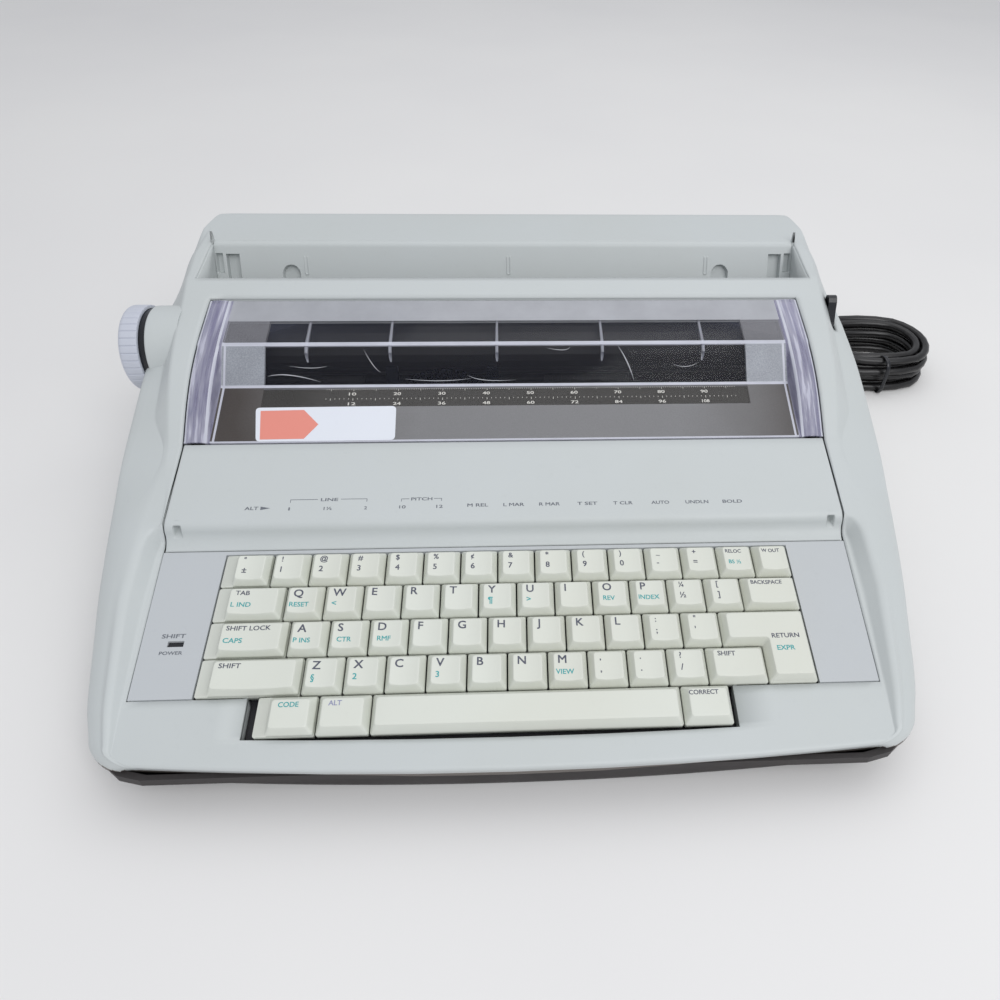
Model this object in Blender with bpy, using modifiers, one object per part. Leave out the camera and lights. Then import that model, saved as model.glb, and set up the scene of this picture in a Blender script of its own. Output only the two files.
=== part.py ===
"""Electronic daisy-wheel typewriter: every solid, in metres, +Z up, front towards -Y.

The machine stands on its feet on Z = 0. Sizes below are named once; outlines,
cuts and seats are worked out from them.
"""
import math

import bmesh
import bpy
from mathutils import Matrix, Vector

MM = 0.001

# Running and seating gaps
GAP = 0.3 * MM
SEAM = 0.5 * MM
OVERRUN = 4.0 * MM

# Case: outline and heights
CASE_DEPTH = 374 * MM
CASE_HALF_WIDTH = 215 * MM
CASE_HEIGHT = 121 * MM
WALL = 2.5 * MM
SKIRT_Z = 19 * MM
FRONT_ROUND = 1.5 * MM
FRONT_CORNER = 22 * MM
REAR_CORNER = 16 * MM
REAR_ROUND = 13 * MM
EDGE_ROUND = 4 * MM
# Half width along the depth, as shares of depth and of the full half width
WIDTH_SHARES = ((0.0, 0.875), (0.06, 0.89), (0.10, 0.907), (0.17, 0.93), (0.24, 0.952),
                (0.34, 0.974), (0.43, 0.988), (0.53, 1.0), (0.70, 1.0), (0.77, 0.983),
                (0.84, 0.962), (0.90, 0.955), (0.94, 0.945), (1.0, 0.925))
# Height of the edge where flank and side wall meet, as shares of depth and height
EDGE_SHARES = ((0.0, 0.207), (0.374, 0.504), (0.436, 0.566), (0.513, 0.624), (0.556, 0.669),
               (0.602, 0.715), (0.642, 0.744), (0.70, 0.777), (0.75, 0.806), (0.80, 0.83),
               (0.87, 0.854), (1.0, 0.89))

# Sloping planes, each as a height at the front edge and a rise per length
PANEL_Z = 30 * MM
PANEL_RISE = 0.19
LID_Z = 30 * MM
LID_RISE = 0.27

# Keyboard
KEY_PITCH = 19.05 * MM
KEY_FRONT_Y = 16 * MM
KEY_LEFT_X = -140.2 * MM
KEY_GAP = 0.75 * MM
KEY_RIM = 0.8 * MM
KEY_TOP = 5.8 * MM
KEY_SKIRT = 3.5 * MM
KEY_STROKE = 3.5 * MM
KEY_SIDE_SLOPE = 2.5 * MM
KEY_FRONT_SLOPE = 2.4 * MM
KEY_REAR_SLOPE = 3.0 * MM
KEY_DISH = 0.8 * MM
KEY_LEDGE = 5.3 * MM
KEY_STEM = 4.0 * MM
LINK_THICK = 1.2 * MM
SWITCH_TOP = 9 * MM
SWITCH_THICK = 3 * MM
SWITCH_MARGIN = 10 * MM

# Keyboard panel
PANEL_FRONT_Y = 35.0 * MM
PANEL_REAR_Y = 112.3 * MM
PANEL_FRONT_HALF = 175 * MM
PANEL_REAR_HALF = 178.3 * MM
PANEL_THICK = 2.5 * MM
LAMP_X = -160 * MM
LAMP_Y = 62 * MM
LAMP_LENGTH = 7 * MM
LAMP_WIDTH = 2.4 * MM

# Front bay for the bottom row of keys
BAY_LEFT_X = -121 * MM
BAY_RIGHT_X = 104 * MM
BAY_FRONT_Y = 13.6 * MM
BAY_WALL = 2.5 * MM
BAY_DEPTH = 5.5 * MM

# Lid and clear cover
LID_HALF = 178.3 * MM
LID_LIP_Y = 122 * MM
LID_REAR_Y = 169.7 * MM
LID_THICK = 2.6 * MM
COVER_REAR_Y = 260 * MM
COVER_THICK = 2.0 * MM
COVER_RAIL = 12 * MM
SLOPE_TOP_Y = 206 * MM
SLOPE_TOP_Z = 88 * MM
BROW_Y = 225 * MM
BROW_Z = 104.3 * MM
COVER_REAR_Z = 111.8 * MM
HINGE_Y = 250 * MM
HINGE_Z = 107 * MM
ARM_THICK = 3 * MM
ARM_HEIGHT = 7 * MM
ARM_REAR_Y = 242 * MM
HINGE_PIN = 1.5 * MM
HINGE_REACH = 3.5 * MM
RIB_THICK = 1.6 * MM
RIB_DROP = 3 * MM
RIB_XS = (-117 * MM, -69 * MM, -7 * MM, 55 * MM, 115 * MM)

# Rear deck and paper entry
DECK_Y = 262 * MM
DECK_Z = 113 * MM
STRIP_REAR_Y = 278 * MM
STRIP_REAR_Z = 117.6 * MM
ENTRY_REAR_Y = 319 * MM
ENTRY_HALF = 191 * MM
ENTRY_FLOOR_Z = 76 * MM
ENTRY_FLOOR_Y = 297 * MM
ENTRY_MOUTH_Z = 98 * MM
HOOK_HALF = 5.6 * MM
HOOK_INNER_X = 183 * MM
POCKET_X = 142 * MM
POCKET_Z = 103 * MM
POCKET_RADIUS = 5.5 * MM
POCKET_DEEP_SHARE = 0.5

# Cheeks beside the cover: run along the depth with a top that bows up
CHEEK_FRONT_Y = 168 * MM
CHEEK_HALF = 179 * MM
CHEEK_WIDTH = 8.5 * MM
CHEEK_FLARE = 0.085
CHEEK_SLOPE = 8 * MM
REAR_NARROW_SHARE = 0.95
# Height of the cheek's top between its front end and the deck, as shares
CHEEK_SHARES = ((0.0, 0.0), (0.06, 0.10), (0.13, 0.22), (0.23, 0.38), (0.34, 0.53), (0.46, 0.66),
                (0.62, 0.79), (0.71, 0.85), (1.0, 1.0))

# Crest that rises beside the keyboard panel, at the front and where it meets the lid
CREST_FRONT_X = 177.5 * MM
CREST_REAR_X = 187.5 * MM
CREST_FRONT_Y = 8 * MM
CREST_FULL_Y = 82 * MM
CREST_LAND = 1.2 * MM

# Platen and its drive
PLATEN_Y = 250.5 * MM
PLATEN_Z = 86 * MM
PLATEN_RADIUS = 17 * MM
PLATEN_HALF = 147 * MM
SHAFT_RADIUS = 4 * MM
KNOB_LENGTH = 11.5 * MM
KNOB_GAP = 3.8 * MM
KNOB_INNER_X = -CASE_HALF_WIDTH
KNOB_OUTER_X = KNOB_INNER_X - KNOB_LENGTH
KNOB_RADIUS = 25.5 * MM
KNOB_FLUTES = 36
BOSS_RADIUS = 25 * MM
BOSS_LENGTH = 19 * MM
BOSS_X = KNOB_INNER_X + KNOB_GAP
BOSS_ROOT_X = BOSS_X + BOSS_LENGTH
ROLLER_RADIUS = 7 * MM
ROLLER_LENGTH = 26 * MM
ROLLER_SHAFT = 3 * MM
ROLLER_XS = (-105 * MM, -35 * MM, 35 * MM, 105 * MM)

# Mechanism frame
FRAME_HALF = 155 * MM
FRAME_THICK = 1.6 * MM
FRAME_FRONT_Y = 184 * MM
FRAME_REAR_Y = 290 * MM
FRAME_FOOT_Z = 10 * MM
FRAME_TRAY = 2 * MM
RAIL_RADIUS = 3.5 * MM
RAIL_Z = 42 * MM
RAIL_Y = 213 * MM
FLANGE_Y = 193 * MM
FLANGE_TOP_Z = 46 * MM

# Carriage, print wheel and ribbon cassette
CARRIAGE_X = -40 * MM
CARRIAGE_HALF = 30 * MM
CARRIAGE_FRONT_Y = 187 * MM
CARRIAGE_REAR_Y = 222 * MM
CARRIAGE_LOW_Z = 34 * MM
CARRIAGE_TOP_Z = 60 * MM
WHEEL_RADIUS = 33.5 * MM
WHEEL_THICK = 1.4 * MM
WHEEL_Y = 229.4 * MM
WHEEL_Z = 50 * MM
WHEEL_HUB = 12 * MM
WHEEL_PETALS = 48
WHEEL_MOTOR = 9.5 * MM
CASSETTE_HALF = 44 * MM
CASSETTE_THICK = 12 * MM
CASSETTE_FRONT_Y = 189 * MM
CASSETTE_REAR_Y = 223 * MM
CASSETTE_ARM_Y = 227.5 * MM
CASSETTE_ARM_TOP = 87 * MM
CASSETTE_ARM_X = 30 * MM
CASSETTE_ARM_WIDTH = 7 * MM
CASSETTE_SPOOL = 11 * MM

# Paper release lever
LEVER_X = CASE_HALF_WIDTH - 11.2 * MM
LEVER_THICK = 5.2 * MM
LEVER_PIVOT_Y = 252.5 * MM
LEVER_PIVOT_Z = 78 * MM
LEVER_LENGTH = 36.5 * MM
LEVER_WIDTH = 7 * MM
LEVER_LEAN = math.radians(25)
SLOT_FRONT = 2.2 * MM
LEVER_SHAFT = 3 * MM

# Base, feet
FOOT_HEIGHT = 3.5 * MM
FOOT_RADIUS = 8 * MM
FOOT_X = 160 * MM
FOOT_FRONT_Y = 40 * MM
FOOT_REAR_Y = CASE_DEPTH - 39 * MM
BASE_FLOOR = 2.5 * MM
BASE_NEST = 5 * MM
BASE_INSET = 14 * MM

# Cord: leaves the rear wall, runs round the corner to a hank on the right
RELIEF_X = 150 * MM
RELIEF_Z = 30 * MM
RELIEF_RADIUS = 6 * MM
RELIEF_LENGTH = 30 * MM
RELIEF_TAPER_SHARE = 0.65
CORD_RADIUS = 3.0 * MM
HANK_X = 286 * MM
HANK_Y = 352 * MM
HANK_HALF_LENGTH = 46 * MM
HANK_HALF_WIDTH = 35 * MM
HANK_STEP = 7.0 * MM
HANK_LOOPS_PER_LAYER = 2
HANK_LAYERS = 4
HANK_LAYER_RISE = 7.0 * MM
HANK_TAIL = 62 * MM
HANK_RUN_SHARE = 2.2
LOOP_POINTS = 24
PLUG_LENGTH = 26 * MM
PLUG_WIDTH = 19 * MM
PLUG_THICK = 15 * MM
BLADE_LENGTH = 16 * MM
BLADE_WIDTH = 6.4 * MM
BLADE_THICK = 1.5 * MM
BLADE_SPACING = 12.7 * MM

# The part's origin: middle of the box round the machine, on the ground
ORIGIN_X = (KNOB_OUTER_X + CASE_HALF_WIDTH) / 2
ORIGIN_Y = CASE_DEPTH / 2

COLOURS = {
    "case_grey": ((0.66, 0.68, 0.67), 0.5, 0.0),
    "panel_grey": ((0.62, 0.65, 0.69), 0.5, 0.0),
    "key_cream": ((0.80, 0.79, 0.71), 0.45, 0.0),
    "clear_cover": ((0.82, 0.80, 0.86), 0.08, 0.0),
    "platen_rubber": ((0.02, 0.02, 0.02), 0.65, 0.0),
    "knob_grey": ((0.70, 0.71, 0.76), 0.45, 0.0),
    "black_plastic": ((0.02, 0.02, 0.022), 0.4, 0.0),
    "steel": ((0.62, 0.62, 0.63), 0.3, 1.0),
    "dark_plastic": ((0.09, 0.09, 0.10), 0.5, 0.0),
    "guide_grey": ((0.55, 0.56, 0.56), 0.5, 0.0),
    "foot_rubber": ((0.03, 0.03, 0.03), 0.8, 0.0),
    "cord_black": ((0.015, 0.015, 0.018), 0.35, 0.0),
    "lamp_lens": ((0.05, 0.02, 0.02), 0.3, 0.0),
}


def clear_scene():
    for item in list(bpy.data.objects):
        bpy.data.objects.remove(item, do_unlink=True)


def make_collection(name):
    collection = bpy.data.collections.new(name)
    bpy.context.scene.collection.children.link(collection)
    return collection


def material(name):
    found = bpy.data.materials.get(name)
    if found:
        return found
    colour, rough, metal = COLOURS[name]
    made = bpy.data.materials.new(name)
    made.use_nodes = True
    shader = made.node_tree.nodes["Principled BSDF"]
    shader.inputs["Base Color"].default_value = (*colour, 1.0)
    shader.inputs["Roughness"].default_value = rough
    shader.inputs["Metallic"].default_value = metal
    made.diffuse_color = (*colour, 1.0)
    return made


clear_scene()
PARTS = make_collection("electronic_typewriter")
CUTTERS = make_collection("cutters")
ROOT = bpy.data.objects.new("typewriter_origin", None)
ROOT.location = (-ORIGIN_X, -ORIGIN_Y, 0)
PARTS.objects.link(ROOT)


def finish_mesh(name, bm):
    bmesh.ops.recalc_face_normals(bm, faces=bm.faces)
    if bm.calc_volume(signed=True) < 0:
        bmesh.ops.reverse_faces(bm, faces=bm.faces)
    mesh = bpy.data.meshes.new(name)
    bm.to_mesh(mesh)
    bm.free()
    return mesh


def add_part(name, bm, slot, location=(0, 0, 0), rotation=(0, 0, 0)):
    """Link a finished mesh as a named sub-part under the machine's origin."""
    item = bpy.data.objects.new(name, finish_mesh(name, bm))
    item.data.materials.append(material(slot))
    item.parent = ROOT
    item.location = location
    item.rotation_euler = rotation
    PARTS.objects.link(item)
    return item


def add_cutter(name, bm, location=(0, 0, 0), rotation=(0, 0, 0)):
    item = bpy.data.objects.new(name, finish_mesh(name, bm))
    item.parent = ROOT
    item.location = location
    item.rotation_euler = rotation
    item.hide_render = True
    item.display_type = "WIRE"
    CUTTERS.objects.link(item)
    return item


def combine(target, other, operation):
    step = target.modifiers.new(operation.lower(), "BOOLEAN")
    step.operation = operation
    step.solver = "EXACT"
    step.object = other


def loft(bm, rings, closed_ends=True):
    """Skin a run of rings that all have the same number of points."""
    rows = [[bm.verts.new(point) for point in ring] for ring in rings]
    count = len(rows[0])
    for low, high in zip(rows, rows[1:]):
        for i in range(count):
            j = (i + 1) % count
            bm.faces.new((low[i], low[j], high[j], high[i]))
    if closed_ends:
        bm.faces.new(list(reversed(rows[0])))
        bm.faces.new(rows[-1])


def box(bm, low, high):
    size = [b - a for a, b in zip(low, high)]
    middle = [(a + b) / 2 for a, b in zip(low, high)]
    matrix = Matrix.Translation(middle) @ Matrix.Diagonal((*size, 1.0))
    bmesh.ops.create_cube(bm, size=1.0, matrix=matrix)


AXIS_TURN = {
    "X": Matrix.Rotation(math.radians(90), 4, "Y"),
    "Y": Matrix.Rotation(math.radians(-90), 4, "X"),
    "Z": Matrix.Identity(4),
}


def cylinder(bm, middle, axis, radius, length, sides=16, radius_far=None):
    """Add a round bar; its flats are turned the same way on every part that shares the axis."""
    far = radius if radius_far is None else radius_far
    matrix = Matrix.Translation(middle) @ AXIS_TURN[axis]
    bmesh.ops.create_cone(bm, cap_ends=True, segments=sides, radius1=radius, radius2=far,
                          depth=length, matrix=matrix)


def side_prism(bm, outline, x_low, x_high):
    """Extrude an outline of (y, z) points along X."""
    loft(bm, [[(x, y, z) for y, z in outline] for x in (x_low, x_high)])


def plan_prism(bm, outline, z_low, z_high):
    """Extrude an outline of (x, y) points along Z."""
    loft(bm, [[(x, y, z) for x, y in outline] for z in (z_low, z_high)])


def between(table, t):
    """Read a table of (place, value) pairs with straight runs between its rows."""
    if t <= table[0][0]:
        return table[0][1]
    for (a, low), (b, high) in zip(table, table[1:]):
        if t <= b:
            return low + (high - low) * (t - a) / (b - a)
    return table[-1][1]


def panel_z(y):
    return PANEL_Z + PANEL_RISE * y


def lid_z(y):
    return LID_Z + LID_RISE * y


def cheek_z(y):
    low = lid_z(CHEEK_FRONT_Y)
    share = (y - CHEEK_FRONT_Y) / (DECK_Y - CHEEK_FRONT_Y)
    return low + (DECK_Z - low) * between(CHEEK_SHARES, share)


def quarter(radius, distance):
    """Drop of a quarter-round edge at a distance in from its face."""
    if distance >= radius:
        return 0
    return radius - math.sqrt(max(0, radius ** 2 - (radius - distance) ** 2))


def half_width(y):
    """Half the case's width at a depth, with rounded corners in plan."""
    full = CASE_HALF_WIDTH * between(WIDTH_SHARES, y / CASE_DEPTH)
    return full - quarter(FRONT_CORNER, y) - quarter(REAR_CORNER, CASE_DEPTH - y)


def deck_z(y):
    if y < STRIP_REAR_Y:
        share = (y - DECK_Y) / (STRIP_REAR_Y - DECK_Y)
        return DECK_Z + (STRIP_REAR_Z - DECK_Z) * share
    share = min(1, (y - STRIP_REAR_Y) / (ENTRY_REAR_Y - STRIP_REAR_Y))
    return STRIP_REAR_Z + (CASE_HEIGHT - STRIP_REAR_Z) * share


def edge_z(y):
    return min(CASE_HEIGHT * between(EDGE_SHARES, y / CASE_DEPTH), CASE_HEIGHT - REAR_ROUND)


def half_section(y):
    """Right half of the case's outer section, from the middle of the top to the bottom edge."""
    width = half_width(y)
    edge = edge_z(y)
    foot = PANEL_REAR_HALF + SEAM
    if y < LID_LIP_Y:
        rise = min(1, max(0, (y - CREST_FRONT_Y) / (CREST_FULL_Y - CREST_FRONT_Y)))
        crest = CREST_FRONT_X + (CREST_REAR_X - CREST_FRONT_X) * rise
        low = panel_z(y) - quarter(FRONT_ROUND, y)
        high = lid_z(y) - quarter(FRONT_ROUND, y)
        toe = PANEL_FRONT_HALF + (PANEL_REAR_HALF - PANEL_FRONT_HALF) * min(1, y / PANEL_REAR_Y) + SEAM
        toe = min(toe, crest - CREST_LAND)
        ease = max(0, (y - PANEL_REAR_Y) / (LID_LIP_Y - PANEL_REAR_Y))
        low += (high - low) * ease ** 2
        crest_z = high
        points = [(0, low), (toe, low),
                  (toe + (crest - toe) * 0.55, low + (crest_z - low) * 0.25),
                  (toe + (crest - toe) * 0.85, low + (crest_z - low) * 0.7),
                  (crest, crest_z), (crest + CREST_LAND, crest_z)]
        slope_x = crest + CREST_LAND + max(width - crest, EDGE_ROUND * 2) * 0.45
        slope_z = crest_z + (edge - crest_z) * 0.3
        points.append((slope_x, slope_z))
    elif y < CHEEK_FRONT_Y:
        top = lid_z(y)
        points = [(0, top), (foot, top), (foot + CREST_LAND, top), (foot + CREST_LAND * 3, top),
                  (CREST_REAR_X, top - CREST_LAND * 0.1), (CREST_REAR_X + CREST_LAND, top - CREST_LAND * 0.3)]
        slope_x = CREST_REAR_X + (width - CREST_REAR_X) * 0.5
        points.append((slope_x, top + (edge - top) * 0.35))
    else:
        top = cheek_z(y) if y < DECK_Y else deck_z(y)
        top -= quarter(REAR_ROUND, CASE_DEPTH - y)
        flank = min(lid_z(y) - CREST_LAND, top)
        outer = CHEEK_HALF + CHEEK_WIDTH + CHEEK_FLARE * (y - CHEEK_FRONT_Y)
        rise = min(1, (y - CHEEK_FRONT_Y) / CHEEK_SLOPE / 3)
        ease = min(1, max(0, (y - DECK_Y) / (CASE_DEPTH - DECK_Y)))
        toe = outer + CHEEK_SLOPE * rise * (1 - REAR_NARROW_SHARE * ease) + CREST_LAND
        points = [(0, top), (foot, top), (foot + CREST_LAND, top),
                  (foot + (outer - foot) * 0.6, top), (outer - CREST_LAND, top),
                  (outer, top - min(CREST_LAND, top - flank)), (toe, flank)]
    limit = width - EDGE_ROUND * 0.6
    squeeze = min(1, limit / points[-1][0])
    points = [(x * squeeze, z) for x, z in points]
    last_x, last_z = points[-1]
    edge = min(edge, last_z)
    points.append((width - EDGE_ROUND * 0.35, edge + (last_z - edge) * 0.12))
    points.append((width, edge - EDGE_ROUND))
    points.append((width, SKIRT_Z))
    return points


def full_ring(half, y):
    """Mirror a half section into a closed ring at one depth."""
    right = [(x, y, z) for x, z in half]
    left = [(-x, y, z) for x, z in reversed(half[1:])]
    return right + left


CASE_STATIONS = (0, FRONT_ROUND * 0.25, FRONT_ROUND * 0.6, FRONT_ROUND, CREST_FRONT_Y,
                 FRONT_CORNER * 0.55, FRONT_CORNER, PANEL_FRONT_Y, (PANEL_FRONT_Y + CREST_FULL_Y) / 2,
                 CREST_FULL_Y, PANEL_REAR_Y, (PANEL_REAR_Y + LID_LIP_Y) / 2, LID_LIP_Y,
                 (LID_LIP_Y + CHEEK_FRONT_Y) / 2, CHEEK_FRONT_Y - SEAM, CHEEK_FRONT_Y,
                 CHEEK_FRONT_Y + CHEEK_SLOPE * 0.5, CHEEK_FRONT_Y + CHEEK_SLOPE * 1.5,
                 CHEEK_FRONT_Y + CHEEK_SLOPE * 3, SLOPE_TOP_Y, BROW_Y, (BROW_Y + DECK_Y) / 2, DECK_Y,
                 STRIP_REAR_Y, (STRIP_REAR_Y + ENTRY_REAR_Y) / 2, ENTRY_REAR_Y,
                 CASE_DEPTH - REAR_CORNER, CASE_DEPTH - REAR_ROUND, CASE_DEPTH - REAR_ROUND * 0.55,
                 CASE_DEPTH - REAR_ROUND * 0.2, CASE_DEPTH)


# How far each point of a section moves in by the wall, sideways and down, as shares
CAVITY_SHARES = ((0, 1), (0, 1), (0, 1.1), (0, 1.2), (0, 1.1), (0.1, 1.1), (0.5, 1.1), (1, 0.6),
                 (1, 0), (1, 0))


def cavity_half(y):
    """Inner surface of the case: the outer section drawn in by the wall."""
    outer = half_section(y)
    points = [(x - WALL * a, z - WALL * b) for (x, z), (a, b) in zip(outer, CAVITY_SHARES)]
    points[-1] = (points[-1][0], SKIRT_Z - OVERRUN)
    return points


def build_cavity():
    """Hollow of the case, less the blocks that later hold the entry and the front bay."""
    bm = bmesh.new()
    depths = [y for y in CASE_STATIONS if WALL < y < CASE_DEPTH - WALL]
    depths = (WALL, *depths, CASE_DEPTH - WALL)
    loft(bm, [full_ring(cavity_half(y), y) for y in depths])
    cavity = add_cutter("case_cavity", bm)
    blocks = bmesh.new()
    entry = [(STRIP_REAR_Y - BAY_WALL, CASE_HEIGHT + OVERRUN), (STRIP_REAR_Y - BAY_WALL, ENTRY_MOUTH_Z),
             (ENTRY_FLOOR_Y - BAY_WALL, ENTRY_FLOOR_Z - BAY_WALL),
             (ENTRY_FLOOR_Y + BAY_WALL, ENTRY_FLOOR_Z - BAY_WALL),
             (ENTRY_REAR_Y + BAY_WALL * 1.5, CASE_HEIGHT + OVERRUN)]
    side_prism(blocks, entry, -ENTRY_HALF - BAY_WALL, ENTRY_HALF + BAY_WALL)
    front = BAY_FRONT_Y - BAY_WALL
    bay = [(front, panel_z(front) - BAY_DEPTH), (PANEL_FRONT_Y, panel_z(PANEL_FRONT_Y) - BAY_DEPTH),
           (PANEL_FRONT_Y, CASE_HEIGHT), (front, CASE_HEIGHT)]
    side_prism(blocks, bay, BAY_LEFT_X - BAY_WALL, BAY_RIGHT_X + BAY_WALL)
    combine(cavity, add_cutter("cavity_blocks", blocks), "DIFFERENCE")
    return cavity


def top_opening():
    """Plan outline of the opening for keys, panel, lid and cover, as one cut."""
    bm = bmesh.new()
    front = PANEL_FRONT_HALF + SEAM
    rear = PANEL_REAR_HALF + SEAM
    deck = DECK_Y
    outline = [(BAY_LEFT_X, BAY_FRONT_Y), (BAY_RIGHT_X, BAY_FRONT_Y), (BAY_RIGHT_X, PANEL_FRONT_Y - SEAM),
               (front, PANEL_FRONT_Y - SEAM), (rear, PANEL_REAR_Y), (rear, deck), (-rear, deck),
               (-rear, PANEL_REAR_Y), (-front, PANEL_FRONT_Y - SEAM), (BAY_LEFT_X, PANEL_FRONT_Y - SEAM)]
    plan_prism(bm, outline, 0, CASE_HEIGHT + OVERRUN)
    return add_cutter("top_opening", bm)


def entry_cut():
    """Paper entry behind the deck strip: a sloping rear wall and a mouth towards the platen."""
    bm = bmesh.new()
    outline = [(STRIP_REAR_Y, CASE_HEIGHT + OVERRUN), (STRIP_REAR_Y, ENTRY_MOUTH_Z),
               (STRIP_REAR_Y - BAY_WALL * 2, ENTRY_MOUTH_Z - BAY_WALL),
               (ENTRY_FLOOR_Y - BAY_WALL * 3, ENTRY_FLOOR_Z - BAY_WALL * 2),
               (ENTRY_FLOOR_Y, ENTRY_FLOOR_Z), (ENTRY_REAR_Y, deck_z(ENTRY_REAR_Y)),
               (ENTRY_REAR_Y, CASE_HEIGHT + OVERRUN)]
    side_prism(bm, outline, -ENTRY_HALF, ENTRY_HALF)
    return add_cutter("entry_cut", bm)


def wall_y(z):
    """Where the entry's sloping rear wall stands at a height."""
    rise = (ENTRY_REAR_Y - ENTRY_FLOOR_Y) / (deck_z(ENTRY_REAR_Y) - ENTRY_FLOOR_Z)
    return ENTRY_FLOOR_Y + (z - ENTRY_FLOOR_Z) * rise


def case_blocks():
    """Hook blocks at the ends of the paper entry and the brackets that hold the lid's pins."""
    bm = bmesh.new()
    low = ENTRY_MOUTH_Z
    for side in (-1, 1):
        a = side * (HOOK_INNER_X - HOOK_HALF * 2)
        b = side * HOOK_INNER_X
        outline = [(wall_y(low) - OVERRUN, low), (wall_y(low) + WALL / 2, low),
                   (ENTRY_REAR_Y + WALL / 2, CASE_HEIGHT - WALL),
                   (ENTRY_REAR_Y - OVERRUN, CASE_HEIGHT - WALL)]
        side_prism(bm, outline, min(a, b), max(a, b))
        a = side * (CHEEK_HALF + GAP)
        b = side * (CHEEK_HALF + GAP + HINGE_REACH)
        box(bm, (min(a, b), HINGE_Y - HINGE_REACH * 1.5, HINGE_Z - HINGE_REACH * 1.5),
            (max(a, b), HINGE_Y + HINGE_REACH * 1.5, HINGE_Z + WALL / 2))
    return add_cutter("case_blocks", bm)


def case_holes():
    """Bores and pockets of the case: shaft, lever slot, cord outlet and half-round pockets."""
    bm = bmesh.new()
    cylinder(bm, ((BOSS_X + BOSS_ROOT_X) / 2, PLATEN_Y, PLATEN_Z), "X", SHAFT_RADIUS + GAP * 2,
             abs(BOSS_X - BOSS_ROOT_X) + OVERRUN * 6, 12)
    low = LEVER_PIVOT_Y - SLOT_FRONT
    high = LEVER_PIVOT_Y + LEVER_LENGTH * math.sin(LEVER_LEAN) + LEVER_WIDTH / 2 + GAP
    clear = LEVER_THICK / 2 + SEAM
    box(bm, (LEVER_X - clear, low, LEVER_PIVOT_Z + LEVER_WIDTH),
        (LEVER_X + clear, high, CASE_HEIGHT + OVERRUN))
    cylinder(bm, (RELIEF_X, CASE_DEPTH, RELIEF_Z), "Y", RELIEF_RADIUS + GAP, RELIEF_LENGTH + OVERRUN, 12)
    for side in (-1, 1):
        cylinder(bm, (side * (CHEEK_HALF + HINGE_REACH / 2), HINGE_Y, HINGE_Z), "X", HINGE_PIN + GAP,
                 HINGE_REACH * 2, 12)
        pocket = Matrix.Translation((side * POCKET_X, wall_y(POCKET_Z), POCKET_Z))
        lean = math.atan2(ENTRY_REAR_Y - ENTRY_FLOOR_Y, deck_z(ENTRY_REAR_Y) - ENTRY_FLOOR_Z)
        pocket @= Matrix.Rotation(math.pi / 2 - lean, 4, "X")
        bmesh.ops.create_cone(bm, cap_ends=True, segments=20, radius1=POCKET_RADIUS,
                              radius2=POCKET_RADIUS, depth=WALL * POCKET_DEEP_SHARE * 2, matrix=pocket)
    return add_cutter("case_holes", bm)


def build_upper_case():
    bm = bmesh.new()
    loft(bm, [full_ring(half_section(y), y) for y in CASE_STATIONS])
    case = add_part("upper_case", bm, "case_grey")
    boss = bmesh.new()
    cylinder(boss, ((BOSS_X + BOSS_ROOT_X) / 2 + BOSS_RADIUS / 2, PLATEN_Y, PLATEN_Z), "X", BOSS_RADIUS,
             abs(BOSS_X - BOSS_ROOT_X) + BOSS_RADIUS, 28)
    combine(case, add_cutter("knob_boss", boss), "UNION")
    combine(case, build_cavity(), "DIFFERENCE")
    combine(case, entry_cut(), "DIFFERENCE")
    combine(case, top_opening(), "DIFFERENCE")
    combine(case, case_blocks(), "UNION")
    combine(case, case_holes(), "DIFFERENCE")
    return case


def plan_ring(inset, z):
    """The case's outline in plan, drawn in by an inset, at one height."""
    ys = (0, FRONT_CORNER * 0.12, FRONT_CORNER * 0.4, FRONT_CORNER, PANEL_FRONT_Y * 2, LID_LIP_Y,
          SLOPE_TOP_Y, DECK_Y, ENTRY_REAR_Y, CASE_DEPTH - REAR_CORNER, CASE_DEPTH - REAR_CORNER * 0.4,
          CASE_DEPTH - REAR_CORNER * 0.12, CASE_DEPTH)
    right = []
    for y in ys:
        depth = inset + (CASE_DEPTH - inset * 2) * y / CASE_DEPTH
        right.append((half_width(y) - inset, depth, z))
    left = [(-x, y, z) for x, y, z in reversed(right)]
    return right + left


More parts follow.
